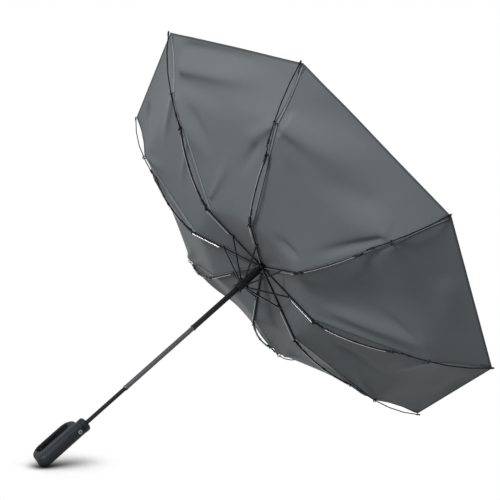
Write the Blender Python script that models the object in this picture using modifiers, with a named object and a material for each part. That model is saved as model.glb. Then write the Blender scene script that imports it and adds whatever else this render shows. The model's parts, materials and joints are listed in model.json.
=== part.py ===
"""A windproof folding umbrella, blown inside out by the wind and held upright by its handle.

The shaft stands on the Z axis with the handle's lower end at the origin and the crown at the top.
The push button faces +X and the handle's carrying loop faces -X. All sizes are in metres.
"""

import math

import bmesh
import bpy
from mathutils import Matrix, Vector

# Ribs as a whole
RIB_COUNT = 8
RIB_TURN = math.radians(-12)
RUNNING_GAP = 0.0003
PIN_GAP = 0.00015
CUT_OVERRUN = 0.001

# Handle
HANDLE_LENGTH = 0.1115
BARREL_RADIUS = 0.0132
BARREL_END_RADIUS = 0.0126
LOOP_REACH = 0.0375
LOOP_STEP = 0.0006
LOOP_HALF_WIDTH = 0.0098
LOOP_EDGE_ROUND = 0.0070
LOOP_BOTTOM_CORNER = 0.027
LOOP_TOP_CORNER = 0.021
LOOP_ROOT_REACH = 0.0066
LOOP_ROOT_CORNER = 0.0088
LOOP_ARM = 0.0052
SLOT_BOTTOM = 0.0120
SLOT_SHOULDER = 0.0115
SLOT_WIDTH = 0.0176
COLLAR_RADIUS = 0.0138
COLLAR_HEIGHT = 0.0115
COLLAR_CHAMFER = 0.0022
COLLAR_NECK = 0.0009

# Carrying loop's gate
GATE_SILL = 0.0120
GATE_LINTEL = 0.0216
GATE_TONGUE_HALF_WIDTH = 0.0042
GATE_PIN_RADIUS = 0.0012

# Push button
BUTTON_CLEAR = 0.0017
BUTTON_RADIUS = 0.0047
BUTTON_TRAVEL = 0.0024
BUTTON_LENGTH = 0.0042
BUTTON_DOME = 0.0006
BUTTON_RECESS_RADIUS = 0.0078
BUTTON_RECESS_DEPTH = 0.0019
BUTTON_PROUD = 0.0003

# Telescopic shaft
BOTTOM_TUBE_RADIUS = 0.0040
MIDDLE_TUBE_RADIUS = 0.0048
TOP_TUBE_RADIUS = 0.0056
TUBE_WALL = 0.0005
TUBE_SOCKET = 0.085
BOTTOM_TUBE_SHOWN = 0.0997
MIDDLE_TUBE_SHOWN = 0.1815
TOP_TUBE_SHOWN = 0.1958
TUBE_OVERLAP = 0.022
TUBE_FERRULE_LENGTH = 0.004
TUBE_FERRULE_WALL = 0.0005

# Top notch, which carries the ribs, and the crown cap above the cloth
NOTCH_PIVOT_RADIUS = 0.0085
NOTCH_RADIUS = 0.0106
NOTCH_HALF_HEIGHT = 0.0048
NOTCH_WALL = 0.0011
NOTCH_CHAMFER = 0.0008
RING_WIRE_RADIUS = 0.0005
CAP_RADIUS = 0.0125
CAP_HEIGHT = 0.0125
CAP_RIM = 0.0012
CAP_KNOB_RADIUS = 0.0042
CAP_TOP_WALL = 0.0022

# Runner, which the stretchers hang on
RUNNER_DROP = 0.0535
RUNNER_PIVOT_RADIUS = 0.0105
RUNNER_WIRE_GAP = 0.00035
RUNNER_RING_RADIUS = 0.0127
RUNNER_RING_HALF_HEIGHT = 0.0038
RUNNER_NECK_RADIUS = 0.0076
RUNNER_NECK_TOP = 0.0445
RUNNER_WAIST_RADIUS = 0.0082
RUNNER_FLANGE_RADIUS = 0.0108
RUNNER_FLANGE_HEIGHT = 0.0028
RUNNER_FOOT = 0.0195
RUNNER_CHAMFER = 0.0008

# Rib frame at rest, in the plane of one rib, from the top notch's height
TOP_RIB_LENGTH = 0.165
TOP_RIB_SLOPE = math.radians(-10)
STRETCHER_REACH = 0.0835
MIDDLE_RIB_CHORD = 0.162
MIDDLE_RIB_SLOPE = math.radians(18.5)
TIP_ROOT_CHORD = 0.0665
TIP_ROOT_SLOPE = math.radians(22)
TIP_END_LENGTH = 0.1225
TIP_END_SLOPE = math.radians(35.5)
TIP_END_BOW = 0.006

# Rib sections and joints
TONGUE_HALF_WIDTH = 0.0006
TOP_RIB_WIDTH = 0.0032
TOP_RIB_DEPTH = 0.0034
CHANNEL_WALL = 0.0005
TOP_RIB_EYE_RADIUS = 0.0015
TOP_RIB_INNER_SETBACK = 0.0062
TOP_RIB_OUTER_SETBACK = 0.0095
TONGUE_LAP = 0.0020
KNEE_RISE = 0.0026
KNEE_EYE_RADIUS = 0.0019
LINK_WIRE_RADIUS = 0.0006
LINK_WIRE_DROP = 0.0042
LINK_WIRE_BEND = 0.0050
STRETCHER_WIDTH = 0.0024
STRETCHER_DEPTH = 0.0026
STRETCHER_EYE_RADIUS = 0.0016
STRETCHER_SETBACK = 0.0048
STRETCHER_SIDE_GAP = 0.0004
RIVET_RADIUS = 0.0006
RIVET_HEAD_RADIUS = 0.0011
RIVET_HEAD_THICKNESS = 0.0004
KNEE_RIVET_RADIUS = 0.0008
KNEE_RIVET_HEAD_RADIUS = 0.0015
FERRULE_REACH = 0.0145
FERRULE_SLOPE = math.radians(9)
FERRULE_HALF_WIDTH = 0.0023
FERRULE_HALF_DEPTH = 0.0020
FERRULE_SOLID_START = 0.0038
FERRULE_TAIL_REACH = 0.0068
FERRULE_TAIL_RADIUS = 0.0013
MIDDLE_RIB_RADIUS = 0.0016
MIDDLE_RIB_EYE_RADIUS = 0.0017
BEAD_SHARE = 0.484
BEAD_LENGTH = 0.0075
BEAD_RADIUS = 0.0023
FOLD_WIRE_RADIUS = 0.0005
FOLD_WIRE_DROP = 0.0024
FOLD_WIRE_LANE = 0.0005
FOLD_WIRE_INSET = 0.0045
FOLD_WIRE_LEG = 0.0030
OUTER_EYE_RADIUS = 0.0023
OUTER_EYE_LENGTH = 0.0090
BRACKET_THICKNESS = 0.0009
BRACKET_SIDE_GAP = 0.0004
BRACKET_REACH = 0.0140
BRACKET_TAIL = 0.0065
BRACKET_EYE_RADIUS = 0.0021
BRACKET_END_RADIUS = 0.0016
TIP_RIB_RADIUS = 0.0012
TIP_RIB_EYE_RADIUS = 0.0016
TIP_CAP_LENGTH = 0.0085
TIP_CAP_RADIUS = 0.0019

# Cloth
CLOTH_THICKNESS = 0.0008
CLOTH_GAP = 0.0004
CLOTH_HOLE_RADIUS = 0.0070
CLOTH_COLLAR_RADIUS = 0.0138
CLOTH_TIE_INSET = 0.0120
CLOTH_TIP_INSET = 0.0030
CLOTH_PULL = 0.0050
CLOTH_SAG = 0.0050
CLOTH_SPLITS = 3
GORE_SPLITS = 6

# Fineness of round shapes
TUBE_SIDES = 24
BODY_SIDES = 32
ARC_STEPS = 6
EYE_STEPS = 3
PIN_STEPS = 4
ROD_POINTS = 7
WIRE_POINTS = 5

HALF_TURN = math.pi
QUARTER_TURN = math.pi / 2
RIB_PITCH = 2 * math.pi / RIB_COUNT


# Scene and object helpers

def clear_scene():
    """Take every object out of the scene."""
    for old in list(bpy.data.objects):
        bpy.data.objects.remove(old, do_unlink=True)


def collection(name):
    """A new collection in the scene."""
    made = bpy.data.collections.new(name)
    bpy.context.scene.collection.children.link(made)
    return made


clear_scene()
PRODUCT = collection("windproof_umbrella")
CUTTERS = collection("cutters")


def material(name, colour, roughness, metallic):
    """A plain Principled material."""
    made = bpy.data.materials.new(name)
    made.use_nodes = True
    shader = made.node_tree.nodes["Principled BSDF"]
    shader.inputs["Base Color"].default_value = (*colour, 1)
    shader.inputs["Roughness"].default_value = roughness
    shader.inputs["Metallic"].default_value = metallic
    return made


BLACK_PLASTIC = material("black_plastic", (0.012, 0.013, 0.015), 0.42, 0)
SOFT_BLACK = material("soft_black", (0.016, 0.018, 0.020), 0.55, 0)
BLACK_STEEL = material("black_steel", (0.015, 0.016, 0.018), 0.30, 0.8)
DARK_CHROME = material("dark_chrome", (0.16, 0.16, 0.17), 0.22, 1)
STEEL = material("steel", (0.45, 0.46, 0.47), 0.30, 1)
GLASS_FIBRE = material("glass_fibre", (0.014, 0.015, 0.017), 0.35, 0)
PONGEE = material("grey_pongee", (0.085, 0.098, 0.102), 0.60, 0)


def put(name, mesh, look, place=Matrix()):
    """Show a finished mesh as a named sub-part."""
    mesh.name = name
    return put_shared(name, mesh, look, place)


def put_shared(name, mesh, look, place):
    """Show a mesh that other sub-parts may share."""
    made = bpy.data.objects.new(name, mesh)
    if not mesh.materials:
        mesh.materials.append(look)
    made.matrix_world = place
    PRODUCT.objects.link(made)
    return made


def helper(name, data):
    """A construction object that isn't part of the umbrella."""
    made = bpy.data.objects.new(name, data)
    made.hide_render = True
    made.display_type = "WIRE"
    CUTTERS.objects.link(made)
    return made


def baked(source, weld=0.000001):
    """The evaluated mesh of a construction object in world space, which then goes."""
    bpy.context.view_layer.update()
    graph = bpy.context.evaluated_depsgraph_get()
    mesh = bpy.data.meshes.new_from_object(source.evaluated_get(graph))
    mesh.transform(source.matrix_world)
    bpy.data.objects.remove(source, do_unlink=True)
    work = bmesh.new()
    work.from_mesh(mesh)
    bmesh.ops.remove_doubles(work, verts=work.verts, dist=weld)
    bmesh.ops.recalc_face_normals(work, faces=work.faces)
    work.to_mesh(mesh)
    work.free()
    return mesh


def combined(base, others, operation):
    """The base mesh joined with the others, or cut by them."""
    body = helper("body", base)
    tools = [helper("tool", other) for other in others]
    for tool in tools:
        change = body.modifiers.new("boolean", "BOOLEAN")
        change.operation = operation
        change.solver = "EXACT"
        change.object = tool
    mesh = baked(body)
    for tool in tools:
        bpy.data.objects.remove(tool, do_unlink=True)
    return mesh


def joined(base, *others):
    return combined(base, others, "UNION")


def cut(base, *others):
    return combined(base, others, "DIFFERENCE")


def smooth(mesh, sharp_angle=math.radians(35)):
    """Round pieces are shaded smooth, with their true edges kept sharp."""
    mesh.shade_smooth()
    mesh.set_sharp_from_angle(angle=sharp_angle)
    mesh.materials.clear()
    return mesh


# Shape helpers

def along(angle):
    return Vector((math.cos(angle), math.sin(angle)))


def across(angle):
    """The direction a quarter turn to the left: the crown's side of a rib that runs outwards."""
    return along(angle + QUARTER_TURN)


def slope_of(step):
    return math.atan2(step.y, step.x)


def arc(centre, radius, start, end, steps):
    """Points round a circle, both ends included."""
    turns = [start + (end - start) * i / steps for i in range(steps + 1)]
    return [centre + radius * along(turn) for turn in turns]


def link_outline(first, first_radius, second, second_radius, steps=EYE_STEPS):
    """The outline of a strap that wraps two eyes."""
    heading = slope_of(second - first)
    lean = math.acos((first_radius - second_radius) / (second - first).length)
    back = arc(first, first_radius, heading + lean, heading + 2 * math.pi - lean, steps)
    front = arc(second, second_radius, heading - lean, heading + lean, steps)
    return back + front


def rounded_outline(corners, steps=ARC_STEPS):
    """A closed outline from corners given as (x, y, radius), anticlockwise and square to each other."""
    outline = []
    count = len(corners)
    for i, (x, y, radius) in enumerate(corners):
        here = Vector((x, y))
        before = Vector(corners[i - 1][:2])
        after = Vector(corners[(i + 1) % count][:2])
        come = (here - before).normalized()
        leave = (after - here).normalized()
        centre = here - radius * come + radius * leave
        start = slope_of(come) - QUARTER_TURN
        outline += arc(centre, radius, start, start + QUARTER_TURN, steps)
    return outline


def plate(outline, half_thickness, lane=0.0):
    """A flat piece that stands in the XZ plane, its middle at Y = lane."""
    curve = bpy.data.curves.new("outline", "CURVE")
    curve.dimensions = "2D"
    curve.fill_mode = "BOTH"
    curve.extrude = half_thickness
    spline = curve.splines.new("POLY")
    spline.points.add(len(outline) - 1)
    for point, place in zip(spline.points, outline):
        point.co = (place.x, place.y, 0, 1)
    spline.use_cyclic_u = True
    made = helper("plate", curve)
    upright = Matrix.Rotation(QUARTER_TURN, 4, "X")
    made.matrix_world = Matrix.Translation((0, lane, 0)) @ upright
    return baked(made)


def disc(centre, radius, half_thickness, lane=0.0, steps=ARC_STEPS):
    """A round plate in the XZ plane."""
    outline = arc(centre, radius, 0, 2 * math.pi, 2 * steps)[:-1]
    return plate(outline, half_thickness, lane)


def spanning_disc(centre, radius, low, high):
    """A small round plate between two lanes, as a rivet or its head."""
    return disc(centre, radius, (high - low) / 2, (high + low) / 2, PIN_STEPS)


def rod(points, radius, lane=0.0):
    """A round rod along points of the XZ plane."""
    curve = bpy.data.curves.new("rod", "CURVE")
    curve.dimensions = "3D"
    curve.bevel_depth = radius
    curve.bevel_resolution = 1
    curve.use_fill_caps = True
    spline = curve.splines.new("POLY")
    spline.points.add(len(points) - 1)
    for point, place in zip(spline.points, points):
        point.co = (place.x, lane, place.y, 1)
    return baked(helper("rod", curve))


def box(low, high):
    """A block between two corners."""
    size = Vector(high) - Vector(low)
    middle = (Vector(high) + Vector(low)) / 2
    work = bmesh.new()
    bmesh.ops.create_cube(work, size=1)
    bmesh.ops.scale(work, verts=work.verts, vec=size)
    bmesh.ops.translate(work, verts=work.verts, vec=middle)
    mesh = bpy.data.meshes.new("box")
    work.to_mesh(mesh)
    work.free()
    return mesh


def strap_box(start, heading, begin, end, half_depth, half_width):
    """A block along a heading of the XZ plane, from begin to end past its start."""
    mesh = box((begin, -half_width, -half_depth), (end, half_width, half_depth))
    turn = Matrix.Rotation(-heading, 4, "Y")
    mesh.transform(Matrix.Translation((start.x, 0, start.y)) @ turn)
    return mesh


def channel(start, heading, begin, end, width, depth, lane=0.0):
    """A folded sheet channel along a heading, open on the crown's side."""
    half = width / 2
    low = -depth / 2
    outline = [
        Vector((-half, low)),
        Vector((half, low)),
        Vector((half, -low)),
        Vector((half - CHANNEL_WALL, -low)),
        Vector((half - CHANNEL_WALL, low + CHANNEL_WALL)),
        Vector((CHANNEL_WALL - half, low + CHANNEL_WALL)),
        Vector((CHANNEL_WALL - half, -low)),
        Vector((-half, -low)),
    ]
    mesh = plate(outline, (end - begin) / 2)
    mesh.transform(Matrix.Rotation(-QUARTER_TURN, 4, "Z"))
    mesh.transform(Matrix.Translation(((begin + end) / 2, lane, 0)))
    turn = Matrix.Rotation(-heading, 4, "Y")
    mesh.transform(Matrix.Translation((start.x, 0, start.y)) @ turn)
    return mesh


def cylinder(radius, begin, end, sides=TUBE_SIDES):
    """A round bar on the Z axis."""
    work = bmesh.new()
    bmesh.ops.create_cone(
        work, cap_ends=True, segments=sides, radius1=radius, radius2=radius, depth=end - begin
    )
    bmesh.ops.translate(work, verts=work.verts, vec=(0, 0, (begin + end) / 2))
    mesh = bpy.data.meshes.new("cylinder")
    work.to_mesh(mesh)
    work.free()
    return mesh


def turned(profile, sides=BODY_SIDES, ring=True):
    """A shape turned about Z from (radius, height) points, outer side first and top to bottom."""
    mesh = bpy.data.meshes.new("profile")
    last = len(profile) - 1
    edges = [(i, i + 1) for i in range(last)]
    if ring:
        edges.append((last, 0))
    mesh.from_pydata([(radius, 0, height) for radius, height in profile], edges, [])
    made = helper("turned", mesh)
    screw = made.modifiers.new("screw", "SCREW")
    screw.axis = "Z"
    screw.angle = 2 * math.pi
    screw.steps = sides
    screw.render_steps = sides
    screw.use_merge_vertices = True
    screw.merge_threshold = 0.00001
    return baked(made)


def softened(mesh, width, segments, angle=math.radians(40)):
    """The mesh with its sharp edges rounded."""
    made = helper("softened", mesh)
    bevel = made.modifiers.new("bevel", "BEVEL")
    bevel.width = width
    bevel.segments = segments
    bevel.limit_method = "ANGLE"
    bevel.angle_limit = angle
    return baked(made)


# Handle

def barrel_top():
    return HANDLE_LENGTH - COLLAR_HEIGHT - RUNNING_GAP


def barrel():
    """The round grip that the shaft runs into, with its button wall still whole."""
    top = barrel_top()
    foot = arc(
        Vector((BARREL_RADIUS - BARREL_END_RADIUS, BARREL_END_RADIUS)),
        BARREL_END_RADIUS, 0, -QUARTER_TURN, ARC_STEPS,
    )
    side = [(0, top), (BARREL_RADIUS, top)]
    return turned(side + [tuple(point) for point in foot] + [(0, 0)], ring=False)


def loop_top():
    return barrel_top() - LOOP_STEP


def slot_top():
    return loop_top() - SLOT_SHOULDER


def loop_blank():
    """The carrying loop as a round-edged slab, before its slot is cut."""
    corners = [
        (-LOOP_REACH, 0, LOOP_BOTTOM_CORNER),
        (LOOP_ROOT_REACH, 0, LOOP_ROOT_CORNER),
        (LOOP_ROOT_REACH, loop_top(), LOOP_ROOT_CORNER),
        (-LOOP_REACH, loop_top(), LOOP_TOP_CORNER),
    ]
    blank = plate(rounded_outline(corners), LOOP_HALF_WIDTH)
    return softened(blank, LOOP_EDGE_ROUND, 4)


def slot_centre():
    return LOOP_ARM - LOOP_REACH + SLOT_WIDTH / 2


def slot_cutter():
    """The finger slot between the grip and the loop's outer arm."""
    radius = SLOT_WIDTH / 2
    low = Vector((slot_centre(), SLOT_BOTTOM + radius))
    high = Vector((slot_centre(), slot_top() - radius))
    outline = link_outline(low, radius, high, radius, ARC_STEPS)
    return plate(outline, BARREL_RADIUS + CUT_OVERRUN)


def gate_foot():
    return SLOT_BOTTOM + GATE_SILL


def gate_head():
    return slot_top() - GATE_LINTEL


def gate_hinge():
    """The gate's pin, in the XZ plane."""
    return Vector((LOOP_ARM / 2 - LOOP_REACH, gate_foot() + LOOP_ARM / 2))


def gate_window():
    """What the loop's outer arm gives up to the gate: the stretch above two round ears, and their slot."""
    hinge = gate_hinge()
    out = -LOOP_REACH - CUT_OVERRUN
    inner = slot_centre()
    wide = LOOP_HALF_WIDTH + CUT_OVERRUN
    narrow = GATE_TONGUE_HALF_WIDTH + RUNNING_GAP
    stretch = box((out, -wide, hinge.y), (inner, wide, gate_head()))
    stretch = cut(stretch, disc(hinge, LOOP_ARM / 2, wide + CUT_OVERRUN))
    tongue = box((out, -narrow, gate_foot() - RUNNING_GAP), (inner, narrow, gate_head()))
    return [stretch, tongue]


def button_height():
    return HANDLE_LENGTH - COLLAR_HEIGHT - BUTTON_CLEAR - BUTTON_RECESS_RADIUS


def button_axis():
    """Places a shape that is made along Z onto the button's axis, facing +X."""
    return Matrix.Translation((0, 0, button_height())) @ Matrix.Rotation(QUARTER_TURN, 4, "Y")


def button_floor():
    """How far out the button's recess lies."""
    return BARREL_RADIUS - BUTTON_RECESS_DEPTH


def button_bore_end():
    return button_floor() + BUTTON_PROUD - BUTTON_LENGTH - BUTTON_TRAVEL - RUNNING_GAP


def handle_body():
    outer = joined(barrel(), loop_blank())
    recess = cylinder(BUTTON_RECESS_RADIUS, button_floor(), BARREL_RADIUS + CUT_OVERRUN)
    bore = cylinder(BUTTON_RADIUS + RUNNING_GAP, button_bore_end(), BARREL_RADIUS + CUT_OVERRUN)
    for tool in (recess, bore):
        tool.transform(button_axis())
    foot = HANDLE_LENGTH - TUBE_SOCKET - RUNNING_GAP
    socket = cylinder(BOTTOM_TUBE_RADIUS + RUNNING_GAP, foot, HANDLE_LENGTH)
    hinge = disc(gate_hinge(), GATE_PIN_RADIUS + PIN_GAP, LOOP_HALF_WIDTH + CUT_OVERRUN)
    mesh = cut(outer, slot_cutter(), *gate_window(), recess, bore, socket, hinge)
    put("handle_body", smooth(mesh), SOFT_BLACK)


def handle_collar():
    bore = BOTTOM_TUBE_RADIUS + RUNNING_GAP
    foot = HANDLE_LENGTH - COLLAR_HEIGHT
    profile = [
        (COLLAR_RADIUS - COLLAR_CHAMFER, HANDLE_LENGTH),
        (COLLAR_RADIUS, HANDLE_LENGTH - COLLAR_CHAMFER),
        (COLLAR_RADIUS, foot + COLLAR_NECK),
        (COLLAR_RADIUS - COLLAR_NECK, foot),
        (bore, foot),
        (bore, HANDLE_LENGTH),
    ]
    put("handle_collar", smooth(turned(profile)), BLACK_PLASTIC)


def push_button():
    face = button_floor() + BUTTON_PROUD
    profile = [
        (0, face + BUTTON_DOME),
        (BUTTON_RADIUS / 2, face + BUTTON_DOME * 3 / 4),
        (BUTTON_RADIUS - BUTTON_DOME, face),
        (BUTTON_RADIUS, face - BUTTON_DOME),
        (BUTTON_RADIUS, face - BUTTON_LENGTH),
        (0, face - BUTTON_LENGTH),
    ]
    mesh = turned(profile, TUBE_SIDES, ring=False)
    put("push_button", smooth(mesh), BLACK_PLASTIC, button_axis())


def carabiner_gate():
    """The sprung bar that closes the loop, of the loop's section, with a tongue between its ears."""
    hinge = gate_hinge()
    half = LOOP_ARM / 2
    shoulder = hinge.y + half + RUNNING_GAP
    stretch = box(
        (-LOOP_REACH - CUT_OVERRUN, -LOOP_HALF_WIDTH - CUT_OVERRUN, shoulder),
        (hinge.x + half, LOOP_HALF_WIDTH + CUT_OVERRUN, gate_head() - RUNNING_GAP),
    )
    bar = combined(loop_blank(), [stretch], "INTERSECT")
    root = Vector((hinge.x, shoulder + half))
    slim = half - RUNNING_GAP
    tongue = plate(link_outline(hinge, slim, root, slim), GATE_TONGUE_HALF_WIDTH)
    hole = disc(hinge, GATE_PIN_RADIUS + PIN_GAP, LOOP_HALF_WIDTH)
    mesh = cut(joined(bar, tongue), hole)
    mesh.transform(Matrix.Translation((-hinge.x, 0, -hinge.y)))
    put("carabiner_gate", smooth(mesh), SOFT_BLACK, Matrix.Translation((hinge.x, 0, hinge.y)))


def gate_pin():
    hinge = gate_hinge()
    reach = LOOP_HALF_WIDTH - GATE_PIN_RADIUS
    pin = cylinder(GATE_PIN_RADIUS, -reach, reach, 2 * ARC_STEPS)
    lay = Matrix.Rotation(QUARTER_TURN, 4, "X")
    put("gate_pin", smooth(pin), STEEL, Matrix.Translation((hinge.x, 0, hinge.y)) @ lay)


# Shaft

def tube(name, radius, foot, head, look, ferrule):
    """A drawn tube, with a rolled ferrule round its foot where the next tube leaves it."""
    bore = radius - TUBE_WALL
    profile = [(radius, head)]
    if ferrule:
        wide = radius + TUBE_FERRULE_WALL
        shoulder = foot + TUBE_FERRULE_LENGTH
        profile += [(radius, shoulder), (wide, shoulder - TUBE_FERRULE_WALL), (wide, foot)]
    else:
        profile.append((radius, foot))
    profile += [(bore, foot), (bore, head)]
    put(name, smooth(turned(profile, TUBE_SIDES)), look)


def middle_tube_foot():
    return HANDLE_LENGTH + BOTTOM_TUBE_SHOWN


def top_tube_foot():
    return middle_tube_foot() + MIDDLE_TUBE_SHOWN


def notch_height():
    return top_tube_foot() + TOP_TUBE_SHOWN


def cap_base():
    return notch_height() + cloth_crown_rise() + CLOTH_THICKNESS / 2 + CLOTH_GAP


def top_tube_head():
    return cap_base() + CAP_HEIGHT - CAP_TOP_WALL - RUNNING_GAP


def shaft():
    foot = HANDLE_LENGTH - TUBE_SOCKET
    middle = middle_tube_foot()
    top = top_tube_foot()
    tube("bottom_tube", BOTTOM_TUBE_RADIUS, foot, middle + TUBE_OVERLAP, BLACK_STEEL, ferrule=False)
    tube("middle_tube", MIDDLE_TUBE_RADIUS, middle, top + TUBE_OVERLAP, DARK_CHROME, ferrule=True)
    tube("top_tube", TOP_TUBE_RADIUS, top, top_tube_head(), BLACK_STEEL, ferrule=True)


# Top notch, crown cap and runner

def slots(depth_radius, low, high, reach, lane):
    """One slot for each rib's tongue, open outwards and over the whole height."""
    cutters = []
    half = TONGUE_HALF_WIDTH + RUNNING_GAP
    for i in range(RIB_COUNT):
        tool = box((depth_radius, lane - half, low), (reach, lane + half, high))
        tool.transform(Matrix.Rotation(rib_azimuth(i), 4, "Z"))
        cutters.append(tool)
    return cutters


def rib_azimuth(index):
    return RIB_TURN + index * RIB_PITCH


def ring_wire(radius):
    """A wire hoop that lies level, its middle at the height of zero."""
    outline = arc(Vector((radius, 0)), RING_WIRE_RADIUS, 0, 2 * math.pi, ARC_STEPS)[:-1]
    return turned([tuple(point) for point in outline])


def top_notch():
    """The slotted hub on the top tube, with the wire that the ribs' tongues turn on."""
    bore = TOP_TUBE_RADIUS + RUNNING_GAP
    top = NOTCH_HALF_HEIGHT
    foot = -NOTCH_HALF_HEIGHT
    profile = [
        (NOTCH_RADIUS - NOTCH_CHAMFER, top),
        (NOTCH_RADIUS, top - NOTCH_CHAMFER),
        (NOTCH_RADIUS, foot + NOTCH_CHAMFER),
        (NOTCH_RADIUS - NOTCH_CHAMFER, foot),
        (bore, foot),
        (bore, top),
    ]
    mesh = cut(turned(profile), *slots(
        bore + NOTCH_WALL - CHANNEL_WALL,
        foot - CUT_OVERRUN, top + CUT_OVERRUN, NOTCH_RADIUS + CUT_OVERRUN, 0,
    ))
    mesh = joined(mesh, ring_wire(NOTCH_PIVOT_RADIUS))
    put("top_notch", smooth(mesh), BLACK_PLASTIC, Matrix.Translation((0, 0, notch_height())))


def crown_cap():
    base = cap_base()
    top = base + CAP_HEIGHT
    bore = TOP_TUBE_RADIUS + RUNNING_GAP
    shoulder = arc(
        Vector((CAP_KNOB_RADIUS, base + CAP_RIM)),
        CAP_RADIUS - CAP_KNOB_RADIUS, QUARTER_TURN, 0, ARC_STEPS,
    )
    profile = [(0, top), (CAP_KNOB_RADIUS - CAP_RIM, top), (CAP_KNOB_RADIUS, top - CAP_RIM)]
    profile += [tuple(point) for point in shoulder]
    profile += [(CAP_RADIUS, base), (bore, base), (bore, top - CAP_TOP_WALL), (0, top - CAP_TOP_WALL)]
    put("crown_cap", smooth(turned(profile, ring=False)), BLACK_PLASTIC)


def stretcher_lane():
    """How far beside the top rib the stretcher runs."""
    return TOP_RIB_WIDTH / 2 + STRETCHER_SIDE_GAP + STRETCHER_WIDTH / 2


def runner():
    """The slider: a slotted ring for the stretchers, a long neck above and a flanged grip below."""
    bore = TOP_TUBE_RADIUS + RUNNING_GAP
    ring_top = RUNNER_RING_HALF_HEIGHT
    foot = -RUNNER_FOOT
    flange = foot + RUNNER_FLANGE_HEIGHT
    profile = [
        (RUNNER_NECK_RADIUS - RUNNER_CHAMFER, RUNNER_NECK_TOP),
        (RUNNER_NECK_RADIUS, RUNNER_NECK_TOP - RUNNER_CHAMFER),
        (RUNNER_NECK_RADIUS, ring_top),
        (RUNNER_RING_RADIUS - RUNNER_CHAMFER, ring_top),
        (RUNNER_RING_RADIUS, ring_top - RUNNER_CHAMFER),
        (RUNNER_RING_RADIUS, RUNNER_CHAMFER - ring_top),
        (RUNNER_RING_RADIUS - RUNNER_CHAMFER, -ring_top),
        (RUNNER_WAIST_RADIUS, -ring_top),
        (RUNNER_WAIST_RADIUS, flange),
        (RUNNER_FLANGE_RADIUS, flange),
        (RUNNER_FLANGE_RADIUS, foot),
        (bore, foot),
        (bore, RUNNER_NECK_TOP),
    ]
    mesh = cut(turned(profile), *slots(
        RUNNER_NECK_RADIUS + RUNNING_GAP,
        -ring_top - RUNNING_GAP, ring_top + CUT_OVERRUN,
        RUNNER_RING_RADIUS + CUT_OVERRUN, stretcher_lane(),
    ))
    mesh = joined(mesh, ring_wire(math.hypot(RUNNER_PIVOT_RADIUS, stretcher_lane())))
    place = Matrix.Translation((0, 0, notch_height() - RUNNER_DROP))
    put("runner", smooth(mesh), BLACK_PLASTIC, place)


# Points of one rib, as (radius, height over the top notch)

def notch_pivot():
    return Vector((NOTCH_PIVOT_RADIUS, 0))


def top_rib_point(distance, rise=0.0):
    return notch_pivot() + distance * along(TOP_RIB_SLOPE) + rise * across(TOP_RIB_SLOPE)


def runner_pivot():
    return Vector((RUNNER_PIVOT_RADIUS, -RUNNER_DROP))


def knee_pin():
    return top_rib_point(TOP_RIB_LENGTH, KNEE_RISE)


def outer_knee():
    return top_rib_point(TOP_RIB_LENGTH) + MIDDLE_RIB_CHORD * along(MIDDLE_RIB_SLOPE)


def bowed(start, end, bow, share):
    """A point on a rib that bows to the handle's side between its ends."""
    chord = end - start
    dip = 4 * bow * share * (1 - share)
    return start + share * chord - dip * across(slope_of(chord))


def bend_pin():
    """Where the glass fibre rib leaves its ferrule and bends when the wind turns it."""
    return top_rib_point(TOP_RIB_LENGTH) + FERRULE_REACH * along(FERRULE_SLOPE)


def middle_rib_length():
    return (outer_knee() - bend_pin()).length


def middle_rib_point(share):
    """A point on the rod between its pins; its bow lets it leave the ferrule without a kink."""
    lean = slope_of(outer_knee() - bend_pin()) - FERRULE_SLOPE
    return bowed(bend_pin(), outer_knee(), middle_rib_length() * math.tan(lean) / 4, share)


def tie_point():
    """Where the cloth is tied to the tip rib."""
    return outer_knee() + TIP_ROOT_CHORD * along(TIP_ROOT_SLOPE)


def tip_point():
    return tie_point() + TIP_END_LENGTH * along(TIP_END_SLOPE)


def tip_end_lean():
    """How far the bowed end leans off its chord where it starts and where it stops."""
    return math.atan(4 * TIP_END_BOW / TIP_END_LENGTH)


def tie_slope():
    return TIP_END_SLOPE - tip_end_lean()


def cap_slope():
    return TIP_END_SLOPE + tip_end_lean()


def tip_root_bow():
    """The root's bow runs into the end's without a kink."""
    return TIP_ROOT_CHORD * math.tan(tie_slope() - TIP_ROOT_SLOPE) / 4


def tip_root_point(share):
    return bowed(outer_knee(), tie_point(), tip_root_bow(), share)


def bracket_share():
    return BRACKET_REACH / TIP_ROOT_CHORD


def tip_bend_pin():
    return tip_root_point(bracket_share())


def bracket_lane():
    return -(MIDDLE_RIB_RADIUS + BRACKET_SIDE_GAP + BRACKET_THICKNESS / 2)


def tip_lane():
    return bracket_lane() - BRACKET_THICKNESS / 2 - RUNNING_GAP - TIP_RIB_RADIUS


# One rib's pieces, each made in the XZ plane

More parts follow.
